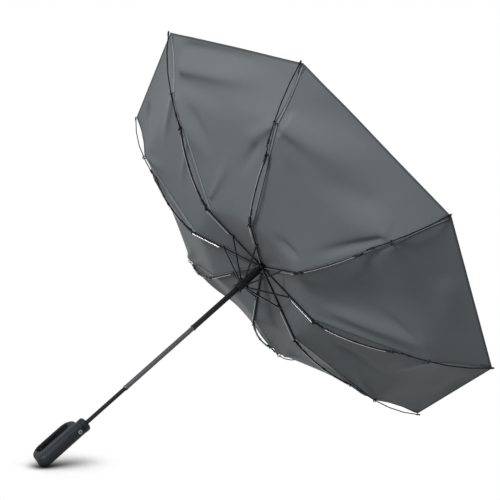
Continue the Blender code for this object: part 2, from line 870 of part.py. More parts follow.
def top_rib_mesh():
    """A channel with a tongue at each end and the link wire hooked under its outer half."""
    start = notch_pivot()
    outer = TOP_RIB_LENGTH - TOP_RIB_OUTER_SETBACK
    body = channel(start, TOP_RIB_SLOPE, TOP_RIB_INNER_SETBACK, outer, TOP_RIB_WIDTH, TOP_RIB_DEPTH)
    inner_end = top_rib_point(TOP_RIB_INNER_SETBACK + TONGUE_LAP)
    inner = plate(
        link_outline(start, TOP_RIB_EYE_RADIUS, inner_end, TOP_RIB_EYE_RADIUS), TONGUE_HALF_WIDTH
    )
    outer_start = top_rib_point(outer - TONGUE_LAP)
    foot = top_rib_point(TOP_RIB_LENGTH)
    tongue = plate(
        link_outline(outer_start, TOP_RIB_EYE_RADIUS, foot, TOP_RIB_EYE_RADIUS), TONGUE_HALF_WIDTH
    )
    eye = plate(
        link_outline(foot, TOP_RIB_EYE_RADIUS - PIN_GAP, knee_pin(), KNEE_EYE_RADIUS),
        TONGUE_HALF_WIDTH - PIN_GAP / 2,
    )
    whole = joined(body, inner, tongue, eye, link_wire_mesh())
    return cut(whole, pin_hole(start, RING_WIRE_RADIUS), pin_hole(knee_pin(), RIVET_RADIUS))


def pin_hole(centre, radius, gap=PIN_GAP, lane=0.0):
    """A round cutter across the rib's plane, for a pin of that radius."""
    return disc(centre, radius + gap, TOP_RIB_WIDTH, lane, PIN_STEPS)


def link_wire_mesh():
    floor = CHANNEL_WALL - TOP_RIB_DEPTH / 2
    begin = STRETCHER_REACH + LINK_WIRE_BEND
    end = TOP_RIB_LENGTH - FERRULE_TAIL_REACH
    points = [
        top_rib_point(begin, floor),
        top_rib_point(begin + LINK_WIRE_BEND / 2, -LINK_WIRE_DROP * 2 / 3),
        top_rib_point(begin + LINK_WIRE_BEND, -LINK_WIRE_DROP),
        top_rib_point(end, -LINK_WIRE_DROP),
    ]
    return rod(points, LINK_WIRE_RADIUS)


def stretcher_mesh():
    start = runner_pivot()
    end = top_rib_point(STRETCHER_REACH)
    heading = slope_of(end - start)
    length = (end - start).length
    lane = stretcher_lane()
    body = channel(start, heading, STRETCHER_SETBACK, length, STRETCHER_WIDTH, STRETCHER_DEPTH, lane)
    lap = start + (STRETCHER_SETBACK + TONGUE_LAP) * along(heading)
    tongue = plate(
        link_outline(start, STRETCHER_EYE_RADIUS, lap, STRETCHER_DEPTH / 2 - PIN_GAP),
        TONGUE_HALF_WIDTH, lane,
    )
    eye = disc(end, STRETCHER_EYE_RADIUS, STRETCHER_WIDTH / 2 - PIN_GAP, lane, EYE_STEPS)
    head = disc(end, RIVET_HEAD_RADIUS, RIVET_HEAD_THICKNESS, lane + STRETCHER_WIDTH / 2, EYE_STEPS)
    hole = pin_hole(start, RING_WIRE_RADIUS, RUNNER_WIRE_GAP, lane)
    return cut(joined(body, tongue, eye, head), hole)


def side_plates(outline, inner, outer):
    """A pair of alike plates, one on each side of the rib's plane."""
    half = (outer - inner) / 2
    lane = (outer + inner) / 2
    return [plate(outline, half, lane), plate(outline, half, -lane)]


def knuckle_mesh():
    """The ferrule at the inner knee: riveted ears, a tail for the link wire and a riveted fork."""
    start = top_rib_point(TOP_RIB_LENGTH)
    mouth = bend_pin()
    heading = FERRULE_SLOPE
    pin = knee_pin()
    tail = top_rib_point(TOP_RIB_LENGTH - FERRULE_TAIL_REACH, -LINK_WIRE_DROP)
    middle = start + FERRULE_REACH / 2 * along(heading)
    wide = FERRULE_HALF_WIDTH
    slim = FERRULE_HALF_DEPTH - PIN_GAP
    fork = TONGUE_HALF_WIDTH + RUNNING_GAP
    ears = side_plates(link_outline(pin, KNEE_EYE_RADIUS, middle, FERRULE_TAIL_RADIUS), fork, wide)
    tails = side_plates(
        link_outline(pin, KNEE_EYE_RADIUS - PIN_GAP, tail, FERRULE_TAIL_RADIUS),
        fork + PIN_GAP, wide - PIN_GAP,
    )
    prongs = side_plates(
        link_outline(middle, slim, mouth, slim), MIDDLE_RIB_RADIUS + RUNNING_GAP, wide
    )
    core_end = FERRULE_REACH - MIDDLE_RIB_EYE_RADIUS - RUNNING_GAP
    core = strap_box(
        start, heading, FERRULE_SOLID_START, core_end, FERRULE_HALF_DEPTH, wide + PIN_GAP
    )
    reach = wide - PIN_GAP
    rivets = [spanning_disc(place, RIVET_RADIUS, -reach, reach) for place in (pin, mouth)]
    return joined(core, *ears, *tails, *prongs, *rivets)


def fold_wire_mesh():
    """The thin wire on the handle's side of the middle rib, its ends hooked into the rib."""
    length = middle_rib_length()
    begin = FOLD_WIRE_INSET / length
    end = 1 - (OUTER_EYE_LENGTH + FOLD_WIRE_INSET) / length
    leg = FOLD_WIRE_LEG / length
    run = end - begin - 2 * leg
    down = FOLD_WIRE_DROP * across(MIDDLE_RIB_SLOPE)
    shares = [begin + leg + run * i / (WIRE_POINTS - 1) for i in range(WIRE_POINTS)]
    line = [middle_rib_point(share) - down for share in shares]
    line = [middle_rib_point(begin), *line, middle_rib_point(end)]
    return rod(line, FOLD_WIRE_RADIUS, -FOLD_WIRE_LANE)


def middle_rib_mesh():
    """A bowed glass fibre rod with a root eye, a cloth clip half way, a fold wire and a flat outer eye."""
    first = (RIVET_RADIUS + MIDDLE_RIB_EYE_RADIUS) / middle_rib_length() / 2
    eye_share = OUTER_EYE_LENGTH / middle_rib_length()
    run = 1 - eye_share / 2 - first
    line = [middle_rib_point(first + run * i / (ROD_POINTS - 1)) for i in range(ROD_POINTS)]
    body = rod(line, MIDDLE_RIB_RADIUS)
    root = disc(bend_pin(), MIDDLE_RIB_EYE_RADIUS, MIDDLE_RIB_RADIUS - PIN_GAP / 2, 0.0, EYE_STEPS)
    half = BEAD_LENGTH / middle_rib_length() / 2
    clip = rod([middle_rib_point(BEAD_SHARE - half), middle_rib_point(BEAD_SHARE + half)], BEAD_RADIUS)
    neck = middle_rib_point(1 - eye_share)
    eye = plate(
        link_outline(neck, FERRULE_HALF_DEPTH, outer_knee(), OUTER_EYE_RADIUS),
        MIDDLE_RIB_RADIUS - PIN_GAP / 2,
    )
    whole = joined(body, root, clip, eye, fold_wire_mesh())
    holes = [pin_hole(bend_pin(), RIVET_RADIUS), pin_hole(outer_knee(), KNEE_RIVET_RADIUS)]
    return cut(whole, *holes)


def bracket_mesh():
    """A stepped sheet bracket at the outer knee, riveted through the middle rib's eye."""
    knee = outer_knee()
    end = tip_bend_pin()
    heading = slope_of(end - knee)
    tail = knee - BRACKET_TAIL * along(heading + QUARTER_TURN / 2)
    half = BRACKET_THICKNESS / 2
    arm = plate(link_outline(knee, BRACKET_EYE_RADIUS, end, BRACKET_END_RADIUS), half, bracket_lane())
    lever = plate(
        link_outline(knee, BRACKET_EYE_RADIUS - PIN_GAP, tail, TIP_RIB_RADIUS),
        half - PIN_GAP / 2, bracket_lane(),
    )
    far = MIDDLE_RIB_RADIUS + RUNNING_GAP + RIVET_HEAD_THICKNESS
    rivet = spanning_disc(knee, KNEE_RIVET_RADIUS, bracket_lane(), far - PIN_GAP)
    head = spanning_disc(knee, KNEE_RIVET_HEAD_RADIUS, far - RIVET_HEAD_THICKNESS, far)
    hole = pin_hole(end, RING_WIRE_RADIUS, PIN_GAP, bracket_lane())
    return cut(joined(arm, lever, rivet, head), hole)


def tip_rib_mesh():
    """The thin outer rod with its cap at the cloth's corner, riveted to the bracket."""
    first = bracket_share()
    steps = ROD_POINTS // 2
    last = 1 - TIP_CAP_LENGTH / TIP_END_LENGTH / 2
    line = [tip_root_point(first + (1 - first) * i / steps) for i in range(steps)]
    line += [bowed(tie_point(), tip_point(), TIP_END_BOW, last * i / steps) for i in range(steps + 1)]
    body = rod(line, TIP_RIB_RADIUS, tip_lane())
    pin = tip_bend_pin()
    root = disc(pin, TIP_RIB_EYE_RADIUS, TIP_RIB_RADIUS - PIN_GAP / 2, tip_lane(), EYE_STEPS)
    tip = tip_point()
    cap = rod([tip - TIP_CAP_LENGTH * along(cap_slope()), tip], TIP_CAP_RADIUS, tip_lane())
    near = bracket_lane() + (BRACKET_THICKNESS + PIN_GAP) / 2
    rivet = spanning_disc(pin, RING_WIRE_RADIUS, tip_lane(), near)
    return joined(body, root, cap, rivet)


def rib_pieces():
    """Each piece's mesh, its joint's place in the rib's plane and its material."""
    return [
        ("top_rib", top_rib_mesh(), notch_pivot(), BLACK_STEEL),
        ("stretcher", stretcher_mesh(), runner_pivot(), BLACK_STEEL),
        ("knuckle", knuckle_mesh(), knee_pin(), BLACK_PLASTIC),
        ("middle_rib", middle_rib_mesh(), bend_pin(), GLASS_FIBRE),
        ("bracket", bracket_mesh(), outer_knee(), STEEL),
        ("tip_rib", tip_rib_mesh(), tip_bend_pin(), GLASS_FIBRE),
    ]


def ribs():
    """Eight alike ribs round the shaft; each piece turns about its own origin."""
    for piece, mesh, joint, look in rib_pieces():
        mesh.transform(Matrix.Translation((-joint.x, 0, -joint.y)))
        mesh.name = piece
        smooth(mesh)
        for i in range(RIB_COUNT):
            turn = Matrix.Rotation(rib_azimuth(i), 4, "Z")
            place = turn @ Matrix.Translation((joint.x, 0, notch_height() + joint.y))
            put_shared(f"{piece}_{i + 1}", mesh, look, place)


# Cloth

def cloth_crown_rise():
    """How far the cloth's middle lies over the top notch's middle at the crown."""
    return NOTCH_HALF_HEIGHT + CLOTH_GAP + CLOTH_THICKNESS / 2


def cloth_over(half_depth):
    """How far the cloth's middle lies above the middle of what carries it."""
    return half_depth + CLOTH_GAP + CLOTH_THICKNESS / 2


def seam():
    """The cloth's seam over one rib, from the crown to the corner, as (radius, height)."""
    rise = cloth_over(TOP_RIB_DEPTH / 2)
    crown = cloth_crown_rise()
    inner_tie = top_rib_point(TOP_RIB_LENGTH - CLOTH_TIE_INSET, rise)
    outer_tie = tie_point() + cloth_over(TIP_RIB_RADIUS) * across(tie_slope())
    corner = tip_point() - CLOTH_TIP_INSET * along(cap_slope())
    corner += cloth_over(TIP_CAP_RADIUS) * across(cap_slope())
    spans = [
        (top_rib_point(CLOTH_COLLAR_RADIUS, rise), inner_tie, 0),
        (inner_tie, outer_tie, 0),
        (outer_tie, corner, -CLOTH_PULL),
    ]
    line = [Vector((CLOTH_HOLE_RADIUS, crown)), Vector((CLOTH_COLLAR_RADIUS, crown))]
    for start, end, bow in spans:
        line += [bowed(start, end, bow, i / CLOTH_SPLITS) for i in range(CLOTH_SPLITS)]
    return line + [corner]


def cloth_ring(radius, height, reach):
    """Points once round the cloth: straight from rib to rib, drawn in a little half way."""
    ring = []
    for i in range(RIB_COUNT):
        here = radius * along(rib_azimuth(i))
        there = radius * along(rib_azimuth(i + 1))
        for step in range(GORE_SPLITS):
            share = step / GORE_SPLITS
            place = here + share * (there - here)
            dip = CLOTH_SAG * reach * math.sin(HALF_TURN * share)
            ring.append((place.x, place.y, height + dip))
    return ring


def canopy():
    line = seam()
    rings = []
    for i, point in enumerate(line):
        reach = math.sin(HALF_TURN * max(i - 1, 0) / (len(line) - 2))
        rings.append(cloth_ring(point.x, point.y, reach))
    points = [place for ring in rings for place in ring]
    around = RIB_COUNT * GORE_SPLITS
    faces = []
    for i in range(len(rings) - 1):
        for k in range(around):
            after = (k + 1) % around
            here = i * around
            over = here + around
            faces.append((here + k, over + k, over + after, here + after))
    mesh = bpy.data.meshes.new("canopy")
    mesh.from_pydata(points, [], faces)
    made = helper("cloth", mesh)
    thick = made.modifiers.new("solidify", "SOLIDIFY")
    thick.thickness = CLOTH_THICKNESS
    thick.offset = 0
    put("canopy", smooth(baked(made)), PONGEE, Matrix.Translation((0, 0, notch_height())))


def main():
    handle_body()
    handle_collar()
    push_button()
    carabiner_gate()
    gate_pin()
    shaft()
    top_notch()
    crown_cap()
    runner()
    ribs()
    canopy()
    for leftover in list(CUTTERS.objects):
        bpy.data.objects.remove(leftover, do_unlink=True)


main()
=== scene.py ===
"""Looks of a windproof umbrella blown inside out: its cloth, finishes, light and camera."""

import json
import math

import bmesh
import bpy
import numpy as np
from mathutils import Matrix, Vector

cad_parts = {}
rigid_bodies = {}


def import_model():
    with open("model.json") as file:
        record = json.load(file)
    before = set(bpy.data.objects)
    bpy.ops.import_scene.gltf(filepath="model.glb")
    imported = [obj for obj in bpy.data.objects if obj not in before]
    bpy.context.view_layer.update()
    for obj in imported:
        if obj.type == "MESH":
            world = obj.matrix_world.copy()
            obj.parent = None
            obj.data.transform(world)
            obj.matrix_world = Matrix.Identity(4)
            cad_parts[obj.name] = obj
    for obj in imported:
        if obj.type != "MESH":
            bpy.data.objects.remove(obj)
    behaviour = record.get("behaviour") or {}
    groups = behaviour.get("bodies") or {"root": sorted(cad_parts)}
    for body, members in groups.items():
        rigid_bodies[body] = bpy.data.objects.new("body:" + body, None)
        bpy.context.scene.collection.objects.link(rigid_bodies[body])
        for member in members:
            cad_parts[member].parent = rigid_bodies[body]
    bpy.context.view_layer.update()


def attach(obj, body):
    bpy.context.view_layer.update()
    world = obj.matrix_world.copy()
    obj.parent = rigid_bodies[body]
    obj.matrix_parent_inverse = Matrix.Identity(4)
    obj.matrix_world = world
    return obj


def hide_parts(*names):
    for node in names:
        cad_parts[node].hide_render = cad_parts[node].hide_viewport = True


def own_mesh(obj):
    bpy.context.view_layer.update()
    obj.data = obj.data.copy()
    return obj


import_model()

# Camera, fitted to the rib tips, knees, shaft and handle
CAMERA_PLACE = Vector((1.95575, -1.14330, -0.47272))
CAMERA_AIM = Vector((0.06216, -0.08192, 0.55091))
CAMERA_UP = Vector((-0.12305, -0.79386, 0.59552))
CAMERA_LENS = 89.775
CAMERA_SENSOR = 36.0

# Rib frame, as in the part, with points as (radius, height)
RIB_COUNT = 8
FIRST_RIB = -12.0
TOP_RIB_SLOPE = math.radians(-10)
MIDDLE_SLOPE = math.radians(18.0)
TIP_SLOPE = math.radians(36.5)
NOTCH_PIVOT = (0.0085, 0.5885)
BEND_PIN = (0.18531, 0.56212)
OUTER_KNEE = (0.32462, 0.61125)
TIE = (0.38628, 0.63616)
INNER_TIE = (0.15961, 0.5623)
MIDDLE_BOW = 0.0068
TIP_ROOT_BOW = 0.0007
TIP_LANE = -0.0044
BEAD_SHARE = 0.484

# Bare steel: the link wire is this far under the top rib's line, and the fold wire this far from the middle
# rib's rod, over these shares of the rod apart from its bead
LINK_DEPTH = 0.0034
ROD_CLEARANCE = 0.00185
ROD_STEPS = 60
FOLD_WIRE_RUN = (0.04, 0.96)
BEAD_HALF = 0.03

# Sleeves and thread ties on the ribs
MIDDLE_SLEEVES = ((0.04, 0.10), (0.10, 0.14), (0.86, 0.90), (0.90, 0.95))
MIDDLE_SLEEVE_RADIUS = 0.0025
TIP_SLEEVE = (0.30, 0.45)
TIP_SLEEVE_RADIUS = 0.0021
SLEEVE_LIP = 0.0004
TIE_REACH = 0.0042
INNER_TIE_REACH = 0.0028
TIE_LIFT = 0.0008
TIE_PITCH = 0.0011
TIE_THREAD = 0.0004

# Handle: places as in the part, and the scene's ridges, foot and button well
LOOP_INNER_FACE = -0.0323
GATE_GAP = (0.0235, 0.0275)
GRIP_SIDE = -0.0132
BUTTON_HEIGHT = 0.0905
BUTTON_FLOOR = 0.0113
RIDGE_COUNT = 15
RIDGE_START = 0.0135
RIDGE_END = 0.064
RIDGE_PITCH = 0.0034
RIDGE_HALF_WIDTH = 0.0076
RIDGE_HALF_HEIGHT = 0.0009
RIDGE_ROOT = 0.0002
RIDGE_RISE = 0.0008
RIDGE_CHAMFER = 0.0004
FOOT_HEIGHT = 0.0105
LOOP_FOOT_RISE = 0.004
FOOT_VOXEL = 0.0006
FOOT_SMOOTHING = 12
FOOT_PROUD = 0.0003
BUTTON_SHADE_RING = 0.0014
WELL_INNER = 0.0049
WELL_OUTER = 0.0065
WELL_LIFT = 0.0002
WELL_SIDES = 40

# Line of the cloth's seam over one rib as (radius, height), from the crown to the rim
SEAM = np.array([
    (0.0072, 0.5941), (0.0138, 0.5941), (0.02252, 0.58857), (0.15961, 0.56439),
    (0.38549, 0.63789), (0.41507, 0.66453), (0.44723, 0.68756), (0.48199, 0.70698),
])

# Cloth: how softly its seams and gores bend, its thickness and sag, and how far its sections lap over one
# another, at the rib and at mid gore
SEAM_SOFTNESS = 0.004
GORE_SOFTNESS = 0.022
SEAM_REACH = 0.53
CLOTH_HALF = 0.0003
CLOTH_SAG = 0.0050
SAG_SKEW = 1.15
GORE_ROUNDNESS = 0.7
CROWN_START = 0.03
CROWN_RUN = 0.05
LAP_HALF = 0.0001
LAP_SHARE = 0.12
KNEE_LAP = (0.0045, 0.019)
CORNER_SHARE = 0.2
LAP_STEPS = 5
COLUMNS = 40

# Trim: the hem's rows inwards from the rim, the felled seam's bands and the dark line beside them as
# (start, end, lift) beside the rib, and the corner patches
HEM_INSETS = (0.0034, 0.0030, 0.0016, 0.0004, -0.0003)
HEM_HALF = 0.00062
SEAM_START = 0.0138
SEAM_STOP = 0.006
SEAM_BANDS = ((0.0002, 0.0030, 0.0005), (0.0006, 0.0024, 0.0011))
SEAM_HALF = 0.00035
SEAM_LIMIT = 0.9
SEAM_ROWS = 60
SEAM_DARK_LINE = (0.0031, 0.0039, 0.0004)
SEAM_DARK_LINE_HALF = 0.0002
SEAM_DARK_LINE_LIMIT = 0.95
PATCH_START = 0.020
PATCH_LENGTH = 0.0165
PATCH_WIDTH = 0.0035
PATCH_FLARE = 0.0050
PATCH_LIFT = 0.0006
PATCH_HALF = 0.00025

# Sections of the cloth: rib that carries each, start and end out from the shaft, slope, share kept when
# folded and rows
ZONES = {
    "inner": ("top_rib", 0.0072, 0.178, TOP_RIB_SLOPE, 0.07, 38),
    "middle": ("middle_rib", 0.178, 0.331, MIDDLE_SLOPE, 0.08, 36),
    "outer": ("tip_rib", 0.331, None, TIP_SLOPE, 0.09, 36),
}
HALF_GORE = math.pi / RIB_COUNT
SPREAD = math.tan(HALF_GORE)

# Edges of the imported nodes
WELD_GAP = 0.00002
BEVEL_ANGLE = math.radians(40)

# Room: lamps, the world's least and most light, and the floor. Ways are (right, up, towards) in the
# photograph's view
KEY_WAY = (-0.45, 0.54, 0.71)
KEY_TARGET = (0, 0, 0.45)
KEY_DISTANCE = 2.6
KEY_SIZE = 0.5
KEY_POWER = 66
SPOT_TARGET = (0, 0, 0.06)
SPOT_DISTANCE = 2.6
SPOT_TURN = math.radians(-12)
SPOT_POWER = 200
SPOT_CONE = math.radians(9)
SPOT_SIZE = 0.6
AMBIENT = (0.125, 0.64)
AMBIENT_WAY = (-0.28, 0.4, 0.8)
AMBIENT_START = -0.8
FLOOR_TILT = math.radians(4.0)
FLOOR_RADIUS = 0.16
FLOOR_GAP = 0.0003
FLOOR_FADE = (0.6, 0.97)
SHADOW_REACH = 0.15
SHADOW_DEPTH = 3.0
OPEN_SKY = 0.93


def rib_turn(index):
    """A rib's direction round the shaft, with ribs counted from 1."""
    return math.radians(FIRST_RIB + 360 / RIB_COUNT * (index - 1))


def around_shaft(index, radius, height, tangent=0.0):
    turn = rib_turn(index)
    return Vector((
        radius * math.cos(turn) - tangent * math.sin(turn),
        radius * math.sin(turn) + tangent * math.cos(turn),
        height,
    ))


def facing(place, aim, up):
    """The place and turn of a camera or lamp at place that looks at aim, with up upwards in its view."""
    back = (place - aim).normalized()
    right = up.cross(back).normalized()
    return Matrix.Translation(place) @ Matrix((right, back.cross(right), back)).transposed().to_4x4()


def put(name, data, place=None):
    """A new object in the scene with these data."""
    made = bpy.data.objects.new(name, data)
    if place is not None:
        made.matrix_world = place
    bpy.context.scene.collection.objects.link(made)
    return made


def camera():
    data = bpy.data.cameras.new("camera")
    data.lens = CAMERA_LENS
    data.sensor_width = CAMERA_SENSOR
    data.clip_start = 0.05
    data.clip_end = 50
    bpy.context.scene.camera = put("camera", data, facing(CAMERA_PLACE, CAMERA_AIM, CAMERA_UP))


def view_axes():
    """The photograph's view: its right, its up and the way towards the camera."""
    ahead = (CAMERA_AIM - CAMERA_PLACE).normalized()
    right = ahead.cross(CAMERA_UP).normalized()
    return right, right.cross(ahead), -ahead


def in_view(way):
    """A way given as (right, up, towards) in the photograph's view."""
    right, up, towards = view_axes()
    return (way[0] * right + way[1] * up + way[2] * towards).normalized()


# Materials

class Nodes:
    """Short hand for one material's nodes."""

    def __init__(self, name, colour, roughness, metallic=0.0, specular=0.5):
        self.material = bpy.data.materials.new(name)
        self.material.use_nodes = True
        self.tree = self.material.node_tree
        self.shader = self.tree.nodes["Principled BSDF"]
        self.set("Base Color", (*colour, 1))
        self.set("Roughness", roughness)
        self.set("Metallic", metallic)
        self.set("Specular IOR Level", specular)

    def set(self, socket, value):
        self.shader.inputs[socket].default_value = value

    def add(self, kind, **values):
        node = self.tree.nodes.new(kind)
        for key, value in values.items():
            setattr(node, key, value)
        return node

    def link(self, output, socket):
        self.tree.links.new(output, socket)

    def place(self, source="Object"):
        return self.add("ShaderNodeTexCoord").outputs[source]

    def stretched(self, source, scale):
        node = self.add("ShaderNodeMapping")
        node.inputs["Scale"].default_value = scale
        self.link(source, node.inputs["Vector"])
        return node.outputs["Vector"]

    def noise(self, source, scale, detail=3.0, rough=0.5):
        node = self.add("ShaderNodeTexNoise")
        node.inputs["Scale"].default_value = scale
        node.inputs["Detail"].default_value = detail
        node.inputs["Roughness"].default_value = rough
        self.link(source, node.inputs["Vector"])
        return node.outputs["Fac"]

    def wave(self, source, scale, direction):
        node = self.add("ShaderNodeTexWave", wave_type="BANDS", bands_direction=direction)
        node.inputs["Scale"].default_value = scale
        self.link(source, node.inputs["Vector"])
        return node.outputs["Fac"]

    def math(self, kind, a, b=0.0):
        node = self.add("ShaderNodeMath", operation=kind)
        for socket, value in zip(node.inputs, (a, b)):
            if isinstance(value, (int, float)):
                socket.default_value = value
            else:
                self.link(value, socket)
        return node.outputs[0]

    def ranged(self, value, low, high, to_low, to_high):
        node = self.add("ShaderNodeMapRange")
        for socket, number in zip(node.inputs[1:5], (low, high, to_low, to_high)):
            socket.default_value = number
        self.link(value, node.inputs[0])
        return node.outputs[0]

    def colour(self, factor, first, second):
        node = self.add("ShaderNodeMix", data_type="RGBA")
        self.link(factor, node.inputs["Factor"])
        node.inputs[6].default_value = (*first, 1)
        node.inputs[7].default_value = (*second, 1)
        self.link(node.outputs[2], self.shader.inputs["Base Color"])

    def bump(self, height, depth, strength=1.0):
        node = self.add("ShaderNodeBump")
        node.inputs["Strength"].default_value = strength
        node.inputs["Distance"].default_value = depth
        self.link(height, node.inputs["Height"])
        if self.shader.inputs["Normal"].links:
            self.link(self.shader.inputs["Normal"].links[0].from_socket, node.inputs["Normal"])
        self.link(node.outputs["Normal"], self.shader.inputs["Normal"])


# Tint of the plastics' shine
COOL = (0.86, 0.95, 1.0, 1.0)


def pongee(name, tone_and_painted_light=1.0):
    """Tightly woven cloth: fine threads both ways and faint streaks along the warp."""
    # tone_and_painted_light scales the colour: below one for dark thread and for painted shade, above one for
    # a painted highlight.
    low = tuple(tone_and_painted_light * c for c in (0.092, 0.103, 0.107))
    high = tuple(tone_and_painted_light * c for c in (0.114, 0.127, 0.131))
    made = Nodes(name, high, 0.44, specular=0.04)
    cut = made.place("UV")
    # The streaks along the warp, in colour as in roughness, are partly uneven tone and partly a painted
    # sheen.
    streaks = made.noise(made.stretched(cut, (14, 420, 1)), 1.0, 2.0, 0.6)
    cloud = made.noise(made.stretched(cut, (9, 9, 1)), 1.0, 3.0)
    mixed = made.math("ADD", made.math("MULTIPLY", streaks, 0.55), made.math("MULTIPLY", cloud, 0.45))
    made.colour(mixed, low, high)
    made.link(made.ranged(mixed, 0.3, 0.7, 0.41, 0.47), made.shader.inputs["Roughness"])
    warp = made.wave(cut, 520, "X")
    weft = made.wave(cut, 520, "Y")
    made.bump(made.math("ADD", warp, weft), 0.00004, 0.25)
    return made.material


def soft_black(name, tone_and_painted_light=1.0):
    """Moulded plastic with a soft touch coat."""
    made = Nodes(name, (0.010, 0.010, 0.011), 0.46, specular=0.18)
    made.set("Specular Tint", COOL)
    spot = made.place()
    cloud = made.noise(spot, 60, 4.0)
    # A copy with tone_and_painted_light below one is darkened into painted shade.
    low = tuple(tone_and_painted_light * c for c in (0.0090, 0.0104, 0.0114))
    high = tuple(tone_and_painted_light * c for c in (0.0130, 0.0148, 0.0160))
    made.colour(cloud, low, high)
    made.link(made.ranged(cloud, 0.3, 0.7, 0.44, 0.5), made.shader.inputs["Roughness"])
    made.bump(made.noise(spot, 5200, 2.0), 0.00003, 0.35)
    return made.material


def hard_black(name):
    """Glossier moulded plastic."""
    made = Nodes(name, (0.010, 0.010, 0.011), 0.36, specular=0.2)
    made.set("Specular Tint", COOL)
    spot = made.place()
    cloud = made.noise(spot, 160, 3.0)
    made.colour(cloud, (0.004, 0.0043, 0.005), (0.007, 0.0074, 0.008))
    made.link(made.ranged(cloud, 0.3, 0.7, 0.34, 0.42), made.shader.inputs["Roughness"])
    return made.material


def painted_steel(name):
    """Black lacquer on steel."""
    made = Nodes(name, (0.008, 0.008, 0.009), 0.3, specular=0.2)
    spot = made.place()
    cloud = made.noise(spot, 60, 2.0)
    made.colour(cloud, (0.004, 0.0043, 0.005), (0.006, 0.0063, 0.007))
    made.set("Roughness", 0.3)
    return made.material


def bare_metal(name, colour, roughness):
    """Drawn metal, faintly uneven in tone."""
    made = Nodes(name, colour, roughness, metallic=1.0)
    spot = made.place()
    cloud = made.noise(spot, 300, 4.0)
    dim = tuple(0.92 * c for c in colour)
    made.colour(cloud, dim, colour)
    return made.material


def button_metal(name):
    """Pale metal with a dark ring of painted shade between the button's rim and its middle."""
    made = Nodes(name, (0.2, 0.21, 0.22), 0.36, metallic=1.0)
    centred = made.add("ShaderNodeMapping")
    centred.inputs["Location"].default_value = (0, 0, -BUTTON_HEIGHT)
    centred.inputs["Scale"].default_value = (0, 1, 1)
    made.link(made.place(), centred.inputs["Vector"])
    far = made.add("ShaderNodeVectorMath", operation="LENGTH")
    made.link(centred.outputs["Vector"], far.inputs[0])
    from_shade_ring = made.math("ABSOLUTE", made.math("SUBTRACT", far.outputs["Value"], BUTTON_SHADE_RING))
    made.colour(made.ranged(from_shade_ring, 0.0004, 0.0009, 0, 1), (0.012, 0.013, 0.014), (0.2, 0.21, 0.22))
    return made.material


def glass_fibre(name):
    """Pultruded black rod under resin."""
    made = Nodes(name, (0.008, 0.008, 0.009), 0.26, specular=0.09)
    spot = made.place()
    grain = made.noise(spot, 700, 4.0)
    made.colour(grain, (0.003, 0.003, 0.004), (0.008, 0.008, 0.009))
    made.link(made.ranged(grain, 0.3, 0.7, 0.2, 0.36), made.shader.inputs["Roughness"])
    made.bump(grain, 0.00002, 0.3)
    return made.material


CLOTH = pongee("cloth_grey")
# A darker copy of the cloth: painted shade for the hem's fold, also used on the corner patches.
HEM_PAINTED_SHADE = pongee("cloth_grey_hem_painted_shade", 0.62)
# A lighter copy of the cloth: painted highlight on the seam's raised band.
BAND_PAINTED_HIGHLIGHT = pongee("cloth_grey_band_painted_highlight", 1.7)
THREAD = pongee("thread_grey", 0.35)
SOFT_BLACK = soft_black("soft_black_touch")
HARD_BLACK = hard_black("hard_black_plastic")
BLACK_STEEL = painted_steel("black_lacquer")
GUNMETAL = bare_metal("gunmetal", (0.085, 0.088, 0.094), 0.34)
BUTTON_METAL = button_metal("button_metal")
# A darker copy of the soft black: painted shade in the button's recess.
PAINTED_SHADE_BLACK = soft_black("painted_shade_black", 0.35)
WIRE = bare_metal("steel_wire", (0.42, 0.43, 0.44), 0.28)
DARK_STEEL = bare_metal("dark_steel", (0.1, 0.1, 0.105), 0.3)
FIBRE = glass_fibre("glass_fibre_rod")


# Meshes

def grid_faces(rows, columns, flip=False, start=0):
    """Quads of a grid of points laid out row by row."""
    i, j = np.meshgrid(np.arange(rows - 1), np.arange(columns - 1), indexing="ij")
    first = start + i * columns + j
    quads = np.stack([first, first + 1, first + columns + 1, first + columns], -1).reshape(-1, 4)
    return quads[:, ::-1] if flip else quads


def edge_loop(rows, columns):
    """The grid's outer points in order."""
    top = np.arange(columns)
    right = np.arange(1, rows) * columns + columns - 1
    bottom = np.arange(columns - 2, -1, -1) + (rows - 1) * columns
    left = np.arange(rows - 2, 0, -1) * columns
    return np.concatenate([top, right, bottom, left])


def slab(points, normals, half, flip):
    """A closed thin sheet about a grid of points: its points, faces and normals."""
    rows, columns = points.shape[:2]
    flat = points.reshape(-1, 3)
    up = normals.reshape(-1, 3)
    count = len(flat)
    verts = np.concatenate([flat - half * up, flat + half * up])
    front = grid_faces(rows, columns, flip)
    back = grid_faces(rows, columns, not flip, count)
    loop = edge_loop(rows, columns)
    after = np.roll(loop, -1)
    rim = np.stack([loop, after, after + count, loop + count], -1)
    if not flip:
        rim = rim[:, ::-1]
    return verts, np.concatenate([front, back, rim]), np.concatenate([-up, up])


def make(name, parts, material, uvs=None):
    """One object from slabs, with given normals and a flat cut as UVs."""
    verts, faces, normals, start = [], [], [], 0
    for points, quads, up in parts:
        verts.append(points)
        faces.append(quads + start)
        normals.append(up)
        start += len(points)
    verts = np.concatenate(verts)
    faces = np.concatenate(faces)
    normals = np.concatenate(normals)
    mesh = bpy.data.meshes.new(name)
    mesh.from_pydata(verts.tolist(), [], faces.tolist())
    mesh.polygons.foreach_set("use_smooth", np.ones(len(mesh.polygons), bool))
    if uvs is not None:
        layer = mesh.uv_layers.new(name="cut")
        corners = np.zeros(len(mesh.loops), np.int32)
        mesh.loops.foreach_get("vertex_index", corners)
        layer.data.foreach_set("uv", np.concatenate(uvs)[corners].astype(np.float32).ravel())
    mesh.update()
    mesh.normals_split_custom_set_from_vertices(normals.tolist())
    mesh.materials.append(material)
    return put(name, mesh)


# Cloth surface

